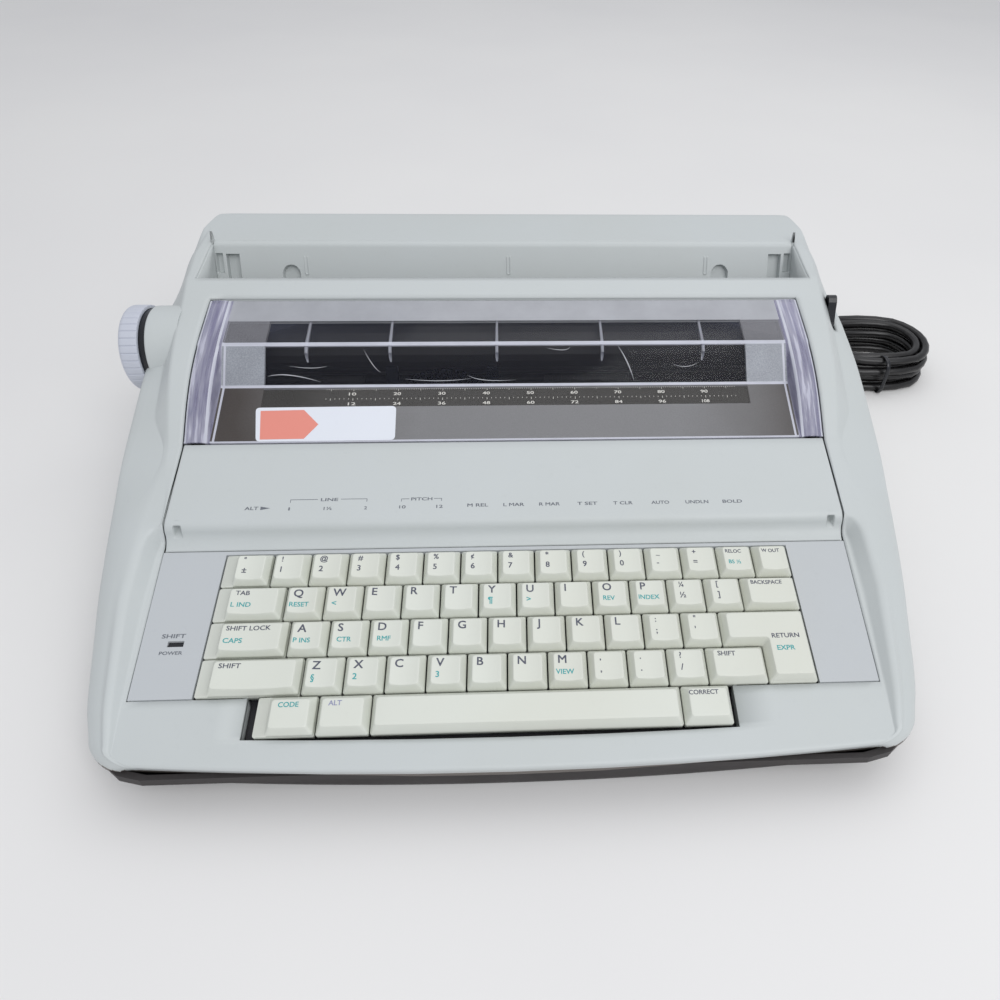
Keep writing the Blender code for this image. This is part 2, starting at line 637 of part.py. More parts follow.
def build_base():
    """Lower tub: one skin up the outside, over the rim and down the inside."""
    nest = WALL + GAP
    floor = FOOT_HEIGHT + BASE_FLOOR
    bm = bmesh.new()
    loft(bm, [plan_ring(BASE_INSET, FOOT_HEIGHT), plan_ring(BASE_INSET * 0.75, floor),
              plan_ring(nest + SEAM, SKIRT_Z - SEAM), plan_ring(nest, SKIRT_Z),
              plan_ring(nest, SKIRT_Z + BASE_NEST), plan_ring(nest + WALL, SKIRT_Z + BASE_NEST),
              plan_ring(nest + WALL, SKIRT_Z), plan_ring(BASE_INSET * 0.75 + WALL, floor)])
    base = add_part("base_case", bm, "case_grey")
    ribs = bmesh.new()
    front = KEY_FRONT_Y + SWITCH_MARGIN
    rear = PANEL_REAR_Y - SWITCH_MARGIN
    under = (SWITCH_TOP + SWITCH_THICK + GAP) / math.cos(math.atan(PANEL_RISE))
    for side in (-1, 1):
        x = side * (abs(KEY_LEFT_X) + KEY_PITCH * 0.62)
        outline = [(front, floor - BASE_FLOOR / 2), (rear, floor - BASE_FLOOR / 2),
                   (rear, panel_z(rear) - under), (front, panel_z(front) - under)]
        side_prism(ribs, outline, x - WALL / 2, x + WALL / 2)
        for y in (FRAME_FRONT_Y + FOOT_RADIUS, FRAME_REAR_Y - FOOT_RADIUS):
            z = (floor + FRAME_FOOT_Z - GAP) / 2 - BASE_FLOOR / 4
            cylinder(ribs, (side * (FRAME_HALF - FOOT_RADIUS * 2), y, z), "Z", FOOT_RADIUS,
                     FRAME_FOOT_Z - GAP - floor + BASE_FLOOR / 2, 12)
    combine(base, add_cutter("base_ribs", ribs), "UNION")
    return base


def build_feet():
    """One rubber strip with round ends under the front and one under the rear."""
    for name, y in (("foot_strip_front", FOOT_FRONT_Y), ("foot_strip_rear", FOOT_REAR_Y)):
        bm = bmesh.new()
        outline = []
        for side in (1, -1):
            for i in range(9):
                angle = math.pi * i / 8 - math.pi / 2
                outline.append((side * (FOOT_X + FOOT_RADIUS * math.cos(angle)),
                                y + side * FOOT_RADIUS * math.sin(angle)))
        plan_prism(bm, outline, 0, FOOT_HEIGHT - GAP)
        add_part(name, bm, "foot_rubber")


TILT = math.atan(PANEL_RISE)


def key_place(column, row, height=0):
    """World place of a point on the keyboard: columns from the left, rows from the front."""
    along = row * KEY_PITCH
    x = KEY_LEFT_X + column * KEY_PITCH
    y = KEY_FRONT_Y + along * math.cos(TILT) - height * math.sin(TILT)
    z = panel_z(KEY_FRONT_Y) + along * math.sin(TILT) + height * math.cos(TILT)
    return (x, y, z)


def cap_ring(low_x, high_x, low_y, high_y, z, dish=0):
    """Eight points round a key: four along the front, four along the back, with a dished middle."""
    shares = (0, 0.28, 0.72, 1)
    sag = (0, dish, dish, 0)
    front = [(low_x + (high_x - low_x) * s, low_y, z - d) for s, d in zip(shares, sag)]
    back = [(low_x + (high_x - low_x) * s, high_y, z - d) for s, d in zip(shares, sag)]
    return front + list(reversed(back))


def key_cap(bm, width, ledge=0, dish=KEY_DISH, offset=(0, 0, 0)):
    """One keycap in its own frame, with its stem; width is in key pitches."""
    half = width * KEY_PITCH / 2 - KEY_GAP / 2
    deep = KEY_PITCH / 2 - KEY_GAP / 2
    left = -half - ledge
    stem = KEY_STEM / 2
    tip = -SWITCH_TOP - SWITCH_THICK + GAP
    rings = [cap_ring(-stem, stem, -stem, stem, tip),
             cap_ring(-stem, stem, -stem, stem, -KEY_SKIRT),
             cap_ring(left, half, -deep, deep, -KEY_SKIRT),
             cap_ring(left, half, -deep, deep, KEY_RIM)]
    if ledge:
        rings.append(cap_ring(-half, half, -deep, deep, KEY_RIM + GAP))
    rings.append(cap_ring(-half + KEY_SIDE_SLOPE, half - KEY_SIDE_SLOPE, -deep + KEY_FRONT_SLOPE,
                          deep - KEY_REAR_SLOPE, KEY_TOP, dish))
    moved = [[tuple(a + b for a, b in zip(point, offset)) for point in ring] for ring in rings]
    loft(bm, moved, closed_ends=False)
    bm.verts.ensure_lookup_table()
    count = len(rings[0])
    total = len(rings) * count
    first = len(bm.verts) - total
    bm.faces.new([bm.verts[first + i] for i in reversed(range(count))])
    top = [bm.verts[len(bm.verts) - count + i] for i in range(count)]
    for i in range(3):
        bm.faces.new((top[i], top[i + 1], top[6 - i], top[7 - i]))


LETTER_ROWS = (("QWERTYUIOP", 1.5, 3), ("ASDFGHJKL", 1.75, 2), ("ZXCVBNM", 2.25, 1))
SPECIAL_KEYS = (("key_tab", 0, 1.5, 3, True, True), ("key_backspace", 13.5, 1.5, 3, False, True),
                ("key_shift_lock", 0, 1.75, 2, True, True), ("key_shift_left", 0, 2.25, 1, True, True),
                ("key_shift_right", 12.25, 1.5, 1, False, True), ("key_code", 1.55, 1.18, 0, True, False),
                ("key_alt", 2.73, 1.27, 0, False, False), ("key_space", 4.0, 7.49, 0, False, False),
                ("key_correct", 11.49, 1.22, 0, False, False))
SYMBOL_COLUMNS = tuple((column + 0.5, 4) for column in range(15)) + (
    (12.0, 3), (13.0, 3), (11.25, 2), (12.25, 2), (9.75, 1), (10.75, 1), (11.75, 1))
# Where a web joins two neighbouring rows of the grouped keys, as columns and row lines
LINK_PLACES = ((12.2, 4), (13.2, 4), (11.62, 3), (12.62, 3), (11.0, 2), (11.5, 2), (10.25, 1.5))
RETURN_LEFT = 12.75
RETURN_STEP = 13.75
RETURN_RIGHT = 15.0


def build_key(name, left, width, row, ledge, dished):
    bm = bmesh.new()
    key_cap(bm, width, KEY_LEDGE if ledge else 0, KEY_DISH if dished else 0)
    place = key_place(left + width / 2, row + 0.5)
    return add_part(name, bm, "key_cream", place, (TILT, 0, 0))


def return_ring(bottom_y, inset, z, deep):
    """Six-cornered ring of the return key; inset draws in left, front, right and rear faces."""
    side, front, rear = inset
    left = (RETURN_LEFT - RETURN_STEP) * KEY_PITCH + KEY_GAP / 2 + side
    step = KEY_GAP / 2 + side
    right = (RETURN_RIGHT - RETURN_STEP) * KEY_PITCH - KEY_GAP / 2 - side
    low = bottom_y + KEY_GAP / 2 + front
    middle = KEY_GAP / 2 + front
    high = deep - KEY_GAP / 2 - rear
    return [(left, middle, z), (step, middle, z), (step, low, z), (right, low, z), (right, high, z),
            (left, high, z)]


def build_return_key():
    """L-shaped key over two rows, placed at the corner where its step is."""
    bm = bmesh.new()
    flat = (0, 0, 0)
    slope = (KEY_SIDE_SLOPE, KEY_FRONT_SLOPE, KEY_REAR_SLOPE)
    loft(bm, [return_ring(-KEY_PITCH, flat, -KEY_SKIRT, KEY_PITCH),
              return_ring(-KEY_PITCH, flat, KEY_RIM, KEY_PITCH),
              return_ring(-KEY_PITCH, slope, KEY_TOP, KEY_PITCH)])
    key = add_part("key_return", bm, "key_cream", key_place(RETURN_STEP, 2), (TILT, 0, 0))
    stem = bmesh.new()
    middle = (RETURN_RIGHT - RETURN_STEP) * KEY_PITCH / 2
    half = KEY_STEM / 2
    tip = -SWITCH_TOP - SWITCH_THICK + GAP
    box(stem, (middle - half, KEY_PITCH / 2 - half, tip),
        (middle + half, KEY_PITCH / 2 + half, -KEY_SKIRT + GAP))
    combine(key, add_cutter("return_stem", stem, key_place(RETURN_STEP, 2), (TILT, 0, 0)), "UNION")
    return key


def build_keys():
    for letters, left, row in LETTER_ROWS:
        for i, letter in enumerate(letters):
            build_key("key_" + letter.lower(), left + i, 1, row, False, True)
    for name, left, width, row, ledge, dished in SPECIAL_KEYS:
        build_key(name, left, width, row, ledge, dished)
    build_return_key()
    bm = bmesh.new()
    for column, row in SYMBOL_COLUMNS:
        first = column < 1
        key_cap(bm, 1, KEY_LEDGE if first else 0, KEY_DISH, (column * KEY_PITCH, (row + 0.5) * KEY_PITCH, 0))
    keys = add_part("symbol_keys", bm, "key_cream", key_place(0, 0), (TILT, 0, 0))
    links = bmesh.new()
    reach = KEY_PITCH / 4
    level = -KEY_SKIRT + LINK_THICK
    for column in range(1, 15):
        x = column * KEY_PITCH
        y = KEY_PITCH * 4.5
        box(links, (x - reach, y - reach, -KEY_SKIRT - LINK_THICK), (x + reach, y + reach, level))
    combine(keys, add_cutter("key_links", links, key_place(0, 0), (TILT, 0, 0)), "UNION")
    links = bmesh.new()
    for column, row in LINK_PLACES:
        x = column * KEY_PITCH
        y = row * KEY_PITCH
        box(links, (x - reach / 2, y - reach, -KEY_SKIRT - LINK_THICK), (x + reach / 2, y + reach, level))
    combine(keys, add_cutter("row_links", links, key_place(0, 0), (TILT, 0, 0)), "UNION")


def stem_places():
    """Column and row of every key's stem."""
    places = list(SYMBOL_COLUMNS)
    for letters, left, row in LETTER_ROWS:
        places += [(left + i + 0.5, row) for i in range(len(letters))]
    places += [(left + width / 2, row) for name, left, width, row, ledge, dished in SPECIAL_KEYS]
    places.append(((RETURN_STEP + RETURN_RIGHT) / 2, 2))
    return places


def build_switch_plate():
    """Guide plate under the keys: a slab along the keyboard's slope with one hole per stem."""
    bm = bmesh.new()
    low_x = -KEY_PITCH
    high_x = KEY_PITCH * 16
    box(bm, (low_x, SEAM, -SWITCH_TOP - SWITCH_THICK), (high_x, KEY_PITCH * 5, -SWITCH_TOP))
    plate = add_part("key_switch_plate", bm, "dark_plastic", key_place(0, 0), (TILT, 0, 0))
    holes = bmesh.new()
    half = KEY_STEM / 2 + GAP
    for column, row in stem_places():
        x = column * KEY_PITCH
        y = (row + 0.5) * KEY_PITCH
        box(holes, (x - half, y - half, -SWITCH_TOP - SWITCH_THICK - OVERRUN),
            (x + half, y + half, -SWITCH_TOP + OVERRUN))
    combine(plate, add_cutter("stem_holes", holes, key_place(0, 0), (TILT, 0, 0)), "DIFFERENCE")


def build_keyboard_panel():
    """Flat surround of the keys: two side plates joined by a strip behind the top row."""
    key_left = KEY_LEFT_X - KEY_LEDGE - KEY_GAP
    key_right = KEY_LEFT_X + RETURN_RIGHT * KEY_PITCH + KEY_GAP
    key_rear = key_place(0, 5)[1] + KEY_GAP
    outline = [(-PANEL_FRONT_HALF, PANEL_FRONT_Y), (key_left, PANEL_FRONT_Y), (key_left, key_rear),
               (key_right, key_rear), (key_right, PANEL_FRONT_Y), (PANEL_FRONT_HALF, PANEL_FRONT_Y),
               (PANEL_REAR_HALF, PANEL_REAR_Y), (-PANEL_REAR_HALF, PANEL_REAR_Y)]
    bm = bmesh.new()
    loft(bm, [[(x, y, panel_z(y) - drop) for x, y in outline] for drop in (PANEL_THICK, 0)])
    panel = add_part("keyboard_panel", bm, "panel_grey")
    slot = bmesh.new()
    half = LAMP_LENGTH / 2 + GAP
    wide = LAMP_WIDTH / 2 + GAP
    box(slot, (LAMP_X - half, LAMP_Y - wide, panel_z(LAMP_Y) - OVERRUN * 2),
        (LAMP_X + half, LAMP_Y + wide, panel_z(LAMP_Y) + OVERRUN))
    combine(panel, add_cutter("lamp_slot", slot), "DIFFERENCE")
    lamp = bmesh.new()
    low = panel_z(LAMP_Y) - PANEL_THICK
    box(lamp, (LAMP_X - LAMP_LENGTH / 2, LAMP_Y - LAMP_WIDTH / 2, low),
        (LAMP_X + LAMP_LENGTH / 2, LAMP_Y + LAMP_WIDTH / 2, low + PANEL_THICK * 0.7))
    add_part("status_lamp", lamp, "lamp_lens")


def lid_outline():
    """Section of the lid: the panel, a rolled lip and the hollow below it down to the keyboard."""
    lip = LID_LIP_Y
    foot = PANEL_REAR_Y + SEAM
    deep = lip - foot
    top = lid_z(lip)
    low = panel_z(foot)
    outer = [(LID_REAR_Y, lid_z(LID_REAR_Y)), (lip + deep * 0.2, lid_z(lip + deep * 0.2)),
             (lip - deep * 0.1, top - deep * 0.09), (lip - deep * 0.25, top - deep * 0.22),
             (lip - deep * 0.32, top - deep * 0.42), (lip - deep * 0.38, low + (top - low) * 0.42),
             (lip - deep * 0.55, low + (top - low) * 0.18), (lip - deep * 0.78, low + (top - low) * 0.04),
             (foot, low)]
    inner = [(foot, low - LID_THICK), (lip - deep * 0.5, low - LID_THICK * 0.6),
             (lip - deep * 0.1, low + (top - low) * 0.3), (lip + deep * 0.1, top - LID_THICK * 1.4),
             (LID_REAR_Y, lid_z(LID_REAR_Y) - LID_THICK)]
    return outer + inner


def build_lid():
    """Hinged front cover: panel with its lip, and two arms back to the hinge."""
    half = LID_HALF
    bm = bmesh.new()
    outline = [(y - HINGE_Y, z - HINGE_Z) for y, z in lid_outline()]
    side_prism(bm, outline, -half, half)
    lid = add_part("top_lid", bm, "case_grey", (0, HINGE_Y, HINGE_Z))
    arms = bmesh.new()
    arm_x = LID_HALF - COVER_THICK - SEAM
    front = LID_REAR_Y - ARM_HEIGHT
    for side in (-1, 1):
        a = side * (arm_x - ARM_THICK)
        b = side * arm_x
        drop = COVER_THICK + GAP * 2
        ys = (LID_REAR_Y, SLOPE_TOP_Y, BROW_Y, ARM_REAR_Y)
        top = [(y, cheek_z(y) - drop * 2) for y in ys]
        low = [(y, z - ARM_HEIGHT) for y, z in reversed(top)]
        start = [(front, lid_z(front) - LID_THICK * 1.6), (front, lid_z(front) - LID_THICK / 2)]
        outline = [(y - HINGE_Y, z - HINGE_Z) for y, z in start + top + low]
        side_prism(arms, outline, min(a, b), max(a, b))
    combine(lid, add_cutter("lid_arms", arms, (0, HINGE_Y, HINGE_Z)), "UNION")
    notches = bmesh.new()
    for side in (-1, 1):
        x = side * (LID_HALF - ARM_HEIGHT)
        y = LID_LIP_Y - ARM_THICK - HINGE_Y
        z = lid_z(LID_LIP_Y) - ARM_HEIGHT * 0.8 - HINGE_Z
        box(notches, (x - ARM_THICK / 2, y - ARM_THICK, z - ARM_THICK / 2),
            (x + ARM_THICK / 2, y + ARM_THICK, z + ARM_THICK / 2))
    combine(lid, add_cutter("finger_notches", notches, (0, HINGE_Y, HINGE_Z)), "DIFFERENCE")
    return lid


def cover_mid_z(y):
    """Height of the clear cover's middle: front slope, steep brow, then the top."""
    table = ((LID_REAR_Y, lid_z(LID_REAR_Y)), (SLOPE_TOP_Y, SLOPE_TOP_Z), (BROW_Y, BROW_Z),
             (COVER_REAR_Y, COVER_REAR_Z))
    return between(table, y)


def build_cover():
    """Clear cover: a sunken middle between two side rails that bow like the cheeks."""
    front = LID_REAR_Y + GAP
    ys = (front, front + CHEEK_SLOPE, front + CHEEK_SLOPE * 2.5, SLOPE_TOP_Y, (SLOPE_TOP_Y + BROW_Y) / 2,
          BROW_Y, HINGE_Y, COVER_REAR_Y)
    outer = LID_HALF
    inner = outer - COVER_RAIL
    rings = []
    for y in ys:
        middle = cover_mid_z(y)
        rail = max(cheek_z(y) - GAP, middle)
        top = [(-outer, rail - COVER_THICK), (-outer, rail), (-inner, rail), (-inner + COVER_THICK, middle),
               (inner - COVER_THICK, middle), (inner, rail), (outer, rail), (outer, rail - COVER_THICK)]
        under = [(inner - COVER_THICK, rail - COVER_THICK), (inner - COVER_THICK * 2, middle - COVER_THICK),
                 (-inner + COVER_THICK * 2, middle - COVER_THICK), (-inner + COVER_THICK, rail - COVER_THICK)]
        rings.append([(x, y - HINGE_Y, z - HINGE_Z) for x, z in top + under])
    bm = bmesh.new()
    loft(bm, rings)
    cover = add_part("lid_window", bm, "clear_cover", (0, HINGE_Y, HINGE_Z))
    ribs = bmesh.new()
    for x in RIB_XS:
        ys = (BROW_Y - COVER_THICK * 2, BROW_Y + COVER_THICK, HINGE_Y, COVER_REAR_Y - COVER_THICK * 2)
        top = [(y, cover_mid_z(y) - COVER_THICK / 2) for y in ys]
        drops = (RIB_DROP * 2, RIB_DROP * 1.6, RIB_DROP, COVER_THICK)
        low = [(y, z - drop) for (y, z), drop in zip(top, drops)]
        outline = [(y - HINGE_Y, z - HINGE_Z) for y, z in top + list(reversed(low))]
        side_prism(ribs, outline, x - RIB_THICK / 2, x + RIB_THICK / 2)
    combine(cover, add_cutter("cover_ribs", ribs, (0, HINGE_Y, HINGE_Z)), "UNION")
    ears = bmesh.new()
    pins = bmesh.new()
    ear = HINGE_PIN * 2.2
    for side in (-1, 1):
        a = side * (LID_HALF - COVER_THICK * 2)
        b = side * (LID_HALF - COVER_THICK * 2 - ARM_THICK)
        box(ears, (min(a, b), -ear, -ear), (max(a, b), ear, ear / 2))
        cylinder(pins, (side * (LID_HALF - ARM_THICK / 2), 0, 0), "X", HINGE_PIN, HINGE_REACH * 3, 12)
    combine(cover, add_cutter("hinge_ears", ears, (0, HINGE_Y, HINGE_Z)), "UNION")
    combine(cover, add_cutter("hinge_pins", pins, (0, HINGE_Y, HINGE_Z)), "UNION")
    return cover


def turned(name, slot, profile, location, steps=32):
    """Turn a profile of (radius, distance along X) about the X axis through a place."""
    bm = bmesh.new()
    points = [bm.verts.new((distance, 0, radius)) for radius, distance in profile]
    for a, b in zip(points, points[1:]):
        bm.edges.new((a, b))
    mesh = bpy.data.meshes.new(name)
    bm.to_mesh(mesh)
    bm.free()
    item = bpy.data.objects.new(name, mesh)
    item.data.materials.append(material(slot))
    item.parent = ROOT
    item.location = location
    PARTS.objects.link(item)
    screw = item.modifiers.new("turn", "SCREW")
    screw.axis = "X"
    screw.steps = steps
    screw.render_steps = steps
    screw.use_merge_vertices = True
    screw.merge_threshold = 0.00001
    return item


def build_platen():
    """Platen with its shaft, turned in one piece about the platen axis."""
    left = (KNOB_INNER_X + KNOB_OUTER_X) / 2 + GAP
    right = FRAME_HALF + FRAME_THICK + GAP
    profile = [(0, left), (SHAFT_RADIUS, left), (SHAFT_RADIUS, -PLATEN_HALF),
               (PLATEN_RADIUS - SEAM, -PLATEN_HALF), (PLATEN_RADIUS, -PLATEN_HALF + SEAM),
               (PLATEN_RADIUS, PLATEN_HALF - SEAM), (PLATEN_RADIUS - SEAM, PLATEN_HALF),
               (SHAFT_RADIUS, PLATEN_HALF), (SHAFT_RADIUS, right), (0, right)]
    turned("platen", "platen_rubber", profile[::-1], (0, PLATEN_Y, PLATEN_Z), 24)


def build_knob():
    """Fluted knob: a round body with shallow grooves along its rim, and a socket for the shaft."""
    length = KNOB_INNER_X - KNOB_OUTER_X
    crown = SHAFT_RADIUS
    face = [(KNOB_RADIUS * share, KNOB_OUTER_X + crown * rise) for share, rise in
            ((0.84, 0), (0.955, 0.3), (1.0, 1.0))]
    rings = []
    points = KNOB_FLUTES * 2
    for radius, x in face + [(KNOB_RADIUS, KNOB_INNER_X)]:
        ring = []
        for i in range(points):
            flute = SEAM if i % 2 else 0
            angle = math.tau * i / points
            reach = radius - flute
            ring.append((x, reach * math.cos(angle), reach * math.sin(angle)))
        rings.append(ring)
    bm = bmesh.new()
    loft(bm, rings)
    knob = add_part("platen_knob", bm, "knob_grey", (0, PLATEN_Y, PLATEN_Z))
    socket = bmesh.new()
    cylinder(socket, (KNOB_INNER_X, 0, 0), "X", SHAFT_RADIUS + GAP, length, 24)
    combine(knob, add_cutter("knob_socket", socket, (0, PLATEN_Y, PLATEN_Z)), "DIFFERENCE")


def build_feed_rollers():
    """Pinch rollers under the platen on one shaft."""
    z = PLATEN_Z - PLATEN_RADIUS - ROLLER_RADIUS - GAP
    end = FRAME_HALF + FRAME_THICK + GAP
    profile = [(0, -end), (ROLLER_SHAFT, -end)]
    for x in ROLLER_XS:
        low = x - ROLLER_LENGTH / 2
        high = x + ROLLER_LENGTH / 2
        profile += [(ROLLER_SHAFT, low), (ROLLER_RADIUS, low), (ROLLER_RADIUS, high), (ROLLER_SHAFT, high)]
    profile += [(ROLLER_SHAFT, end), (0, end)]
    turned("feed_rollers", "foot_rubber", profile[::-1], (0, PLATEN_Y, z), 16)


def frame_outline():
    """Side plate of the mechanism frame, low at the front and tall round the platen."""
    tray = FRAME_FOOT_Z
    return [(FRAME_FRONT_Y, tray), (FRAME_REAR_Y, tray), (FRAME_REAR_Y, ENTRY_FLOOR_Z - BAY_WALL * 4),
            (PLATEN_Y + PLATEN_RADIUS, PLATEN_Z + SHAFT_RADIUS),
            (PLATEN_Y + SHAFT_RADIUS * 2, PLATEN_Z + SHAFT_RADIUS * 2),
            (PLATEN_Y - SHAFT_RADIUS * 2, PLATEN_Z + SHAFT_RADIUS * 2), (PLATEN_Y - PLATEN_RADIUS, PLATEN_Z),
            (SLOPE_TOP_Y, CARRIAGE_TOP_Z), (FRAME_FRONT_Y, CARRIAGE_TOP_Z - SHAFT_RADIUS)]


def build_frame():
    """Pressed steel frame: two side plates on a tray, with bores for the shafts and rails."""
    bm = bmesh.new()
    outline = frame_outline()
    side_prism(bm, outline, -FRAME_HALF - FRAME_THICK, -FRAME_HALF)
    frame = add_part("mechanism_frame", bm, "steel")
    other = bmesh.new()
    side_prism(other, outline, FRAME_HALF, FRAME_HALF + FRAME_THICK)
    combine(frame, add_cutter("frame_right", other), "UNION")
    tray = bmesh.new()
    box(tray, (-FRAME_HALF - FRAME_THICK / 2, FRAME_FRONT_Y, FRAME_FOOT_Z),
        (FRAME_HALF + FRAME_THICK / 2, FRAME_REAR_Y, FRAME_FOOT_Z + FRAME_TRAY))
    combine(frame, add_cutter("frame_tray", tray), "UNION")
    flange = bmesh.new()
    box(flange, (-FRAME_HALF - FRAME_THICK / 2, FLANGE_Y - FRAME_THICK / 2, FRAME_FOOT_Z + FRAME_TRAY / 2),
        (FRAME_HALF + FRAME_THICK / 2, FLANGE_Y + FRAME_THICK / 2, FLANGE_TOP_Z))
    combine(frame, add_cutter("frame_flange", flange), "UNION")
    holes = bmesh.new()
    length = (FRAME_HALF + OVERRUN) * 2
    roller_z = PLATEN_Z - PLATEN_RADIUS - ROLLER_RADIUS - GAP
    cylinder(holes, (0, PLATEN_Y, PLATEN_Z), "X", SHAFT_RADIUS + GAP, length, 24)
    cylinder(holes, (0, PLATEN_Y, roller_z), "X", ROLLER_SHAFT + GAP, length, 16)
    cylinder(holes, (0, RAIL_Y, RAIL_Z), "X", RAIL_RADIUS + GAP, length, 12)
    combine(frame, add_cutter("frame_bores", holes), "DIFFERENCE")


def build_rail():
    bm = bmesh.new()
    cylinder(bm, (0, RAIL_Y, RAIL_Z), "X", RAIL_RADIUS, (FRAME_HALF + FRAME_THICK + GAP) * 2, 12)
    add_part("carriage_rail", bm, "steel")


def build_carriage():
    """Carriage block: a bore for the rail, a slot for the flange and the print motor's round body."""
    bm = bmesh.new()
    outline = [(CARRIAGE_FRONT_Y, CARRIAGE_LOW_Z), (CARRIAGE_REAR_Y, CARRIAGE_LOW_Z),
               (CARRIAGE_REAR_Y, CARRIAGE_TOP_Z), (CARRIAGE_FRONT_Y + SHAFT_RADIUS, CARRIAGE_TOP_Z),
               (CARRIAGE_FRONT_Y, CARRIAGE_TOP_Z - SHAFT_RADIUS * 2)]
    side_prism(bm, outline, -CARRIAGE_HALF, CARRIAGE_HALF)
    carriage = add_part("print_carriage", bm, "dark_plastic", (CARRIAGE_X, 0, 0))
    motor = bmesh.new()
    cylinder(motor, (0, CARRIAGE_REAR_Y, WHEEL_Z), "Y", WHEEL_MOTOR, SHAFT_RADIUS * 2, 20)
    combine(carriage, add_cutter("print_motor", motor, (CARRIAGE_X, 0, 0)), "UNION")
    bores = bmesh.new()
    cylinder(bores, (0, RAIL_Y, RAIL_Z), "X", RAIL_RADIUS + GAP, (CARRIAGE_HALF + OVERRUN) * 2, 12)
    slot = FRAME_THICK / 2 + GAP
    box(bores, (-CARRIAGE_HALF - OVERRUN, FLANGE_Y - slot, CARRIAGE_LOW_Z - OVERRUN),
        (CARRIAGE_HALF + OVERRUN, FLANGE_Y + slot, FLANGE_TOP_Z + GAP))
    combine(carriage, add_cutter("rail_bores", bores, (CARRIAGE_X, 0, 0)), "DIFFERENCE")


def build_wheel():
    """Print wheel: a hub with many thin petals, as one star-shaped sheet."""
    bm = bmesh.new()
    outline = []
    step = math.tau / WHEEL_PETALS
    for i in range(WHEEL_PETALS):
        for share, radius in ((-0.3, WHEEL_RADIUS), (0.3, WHEEL_RADIUS), (0.5, WHEEL_HUB * 1.15)):
            angle = step * (i + share)
            outline.append((radius * math.sin(angle), radius * math.cos(angle)))
    loft(bm, [[(x, y, z) for x, z in outline] for y in (-WHEEL_THICK / 2, WHEEL_THICK / 2)])
    wheel = add_part("daisy_wheel", bm, "black_plastic", (CARRIAGE_X, WHEEL_Y, WHEEL_Z))
    hub = bmesh.new()
    reach = WHEEL_Y - CARRIAGE_REAR_Y - SHAFT_RADIUS - GAP
    cylinder(hub, (0, -reach / 2, 0), "Y", WHEEL_MOTOR * 0.8, reach, 20)
    combine(wheel, add_cutter("wheel_hub", hub, (CARRIAGE_X, WHEEL_Y, WHEEL_Z)), "UNION")


def build_cassette():
    """Ribbon cassette over the carriage, with two arms that hold the ribbon at the print line."""
    low = CARRIAGE_TOP_Z + GAP
    high = low + CASSETTE_THICK
    bm = bmesh.new()
    box(bm, (-CASSETTE_HALF, CASSETTE_FRONT_Y, low), (CASSETTE_HALF, CASSETTE_REAR_Y, high))
    cassette = add_part("ribbon_cassette", bm, "black_plastic", (CARRIAGE_X, 0, 0))
    arms = bmesh.new()
    for side in (-1, 1):
        x = side * CASSETTE_ARM_X
        outline = [(CASSETTE_REAR_Y - WALL, low), (CASSETTE_ARM_Y, low), (CASSETTE_ARM_Y, CASSETTE_ARM_TOP),
                   (CASSETTE_ARM_Y - WALL, CASSETTE_ARM_TOP), (CASSETTE_REAR_Y - WALL, high - WALL)]
        side_prism(arms, outline, x - CASSETTE_ARM_WIDTH / 2, x + CASSETTE_ARM_WIDTH / 2)
        cylinder(arms, (side * CASSETTE_HALF / 2, (CASSETTE_FRONT_Y + CASSETTE_REAR_Y) / 2 - WALL, high), "Z",
                 CASSETTE_SPOOL, WALL, 16)
    combine(cassette, add_cutter("cassette_arms", arms, (CARRIAGE_X, 0, 0)), "UNION")


def build_paper_guide():
    """Sheet that leads paper from the entry's floor under the platen."""
    start = ENTRY_FLOOR_Z - BAY_WALL * 3.4
    low = PLATEN_Z - PLATEN_RADIUS - BAY_WALL * 1.6
    front = PLATEN_Y + ROLLER_RADIUS + BAY_WALL
    path = [(ENTRY_FLOOR_Y - BAY_WALL * 4, start), (PLATEN_Y + PLATEN_RADIUS * 1.5, low + BAY_WALL * 0.8),
            (front, low)]
    under = [(y, z - COVER_THICK) for y, z in reversed(path)]
    bm = bmesh.new()
    side_prism(bm, path + under, -FRAME_HALF + GAP, FRAME_HALF - GAP)
    add_part("paper_guide", bm, "guide_grey")


def build_lever():
    """Paper release lever on a short shaft that reaches in to the frame."""
    bm = bmesh.new()
    half = LEVER_WIDTH / 2
    right = [(half * wide, LEVER_LENGTH * high) for wide, high in
             ((0, -0.1), (0.8, -0.05), (1, 0.03), (0.8, 0.55), (0.85, 0.75), (1, 0.88), (0.85, 0.95),
              (0.5, 0.99), (0, 1))]
    outline = right + [(-y, z) for y, z in reversed(right[1:-1])]
    turn = math.cos(LEVER_LEAN), math.sin(LEVER_LEAN)
    leaned = [(y * turn[0] + z * turn[1], z * turn[0] - y * turn[1]) for y, z in outline]
    side_prism(bm, leaned, -LEVER_THICK / 2, LEVER_THICK / 2)
    place = (LEVER_X, LEVER_PIVOT_Y, LEVER_PIVOT_Z)
    lever = add_part("paper_release_lever", bm, "black_plastic", place)
    shaft = bmesh.new()
    reach = LEVER_X - FRAME_HALF - FRAME_THICK - GAP
    cylinder(shaft, (-reach / 2, 0, 0), "X", LEVER_SHAFT, reach, 12)
    combine(lever, add_cutter("lever_shaft", shaft, place), "UNION")


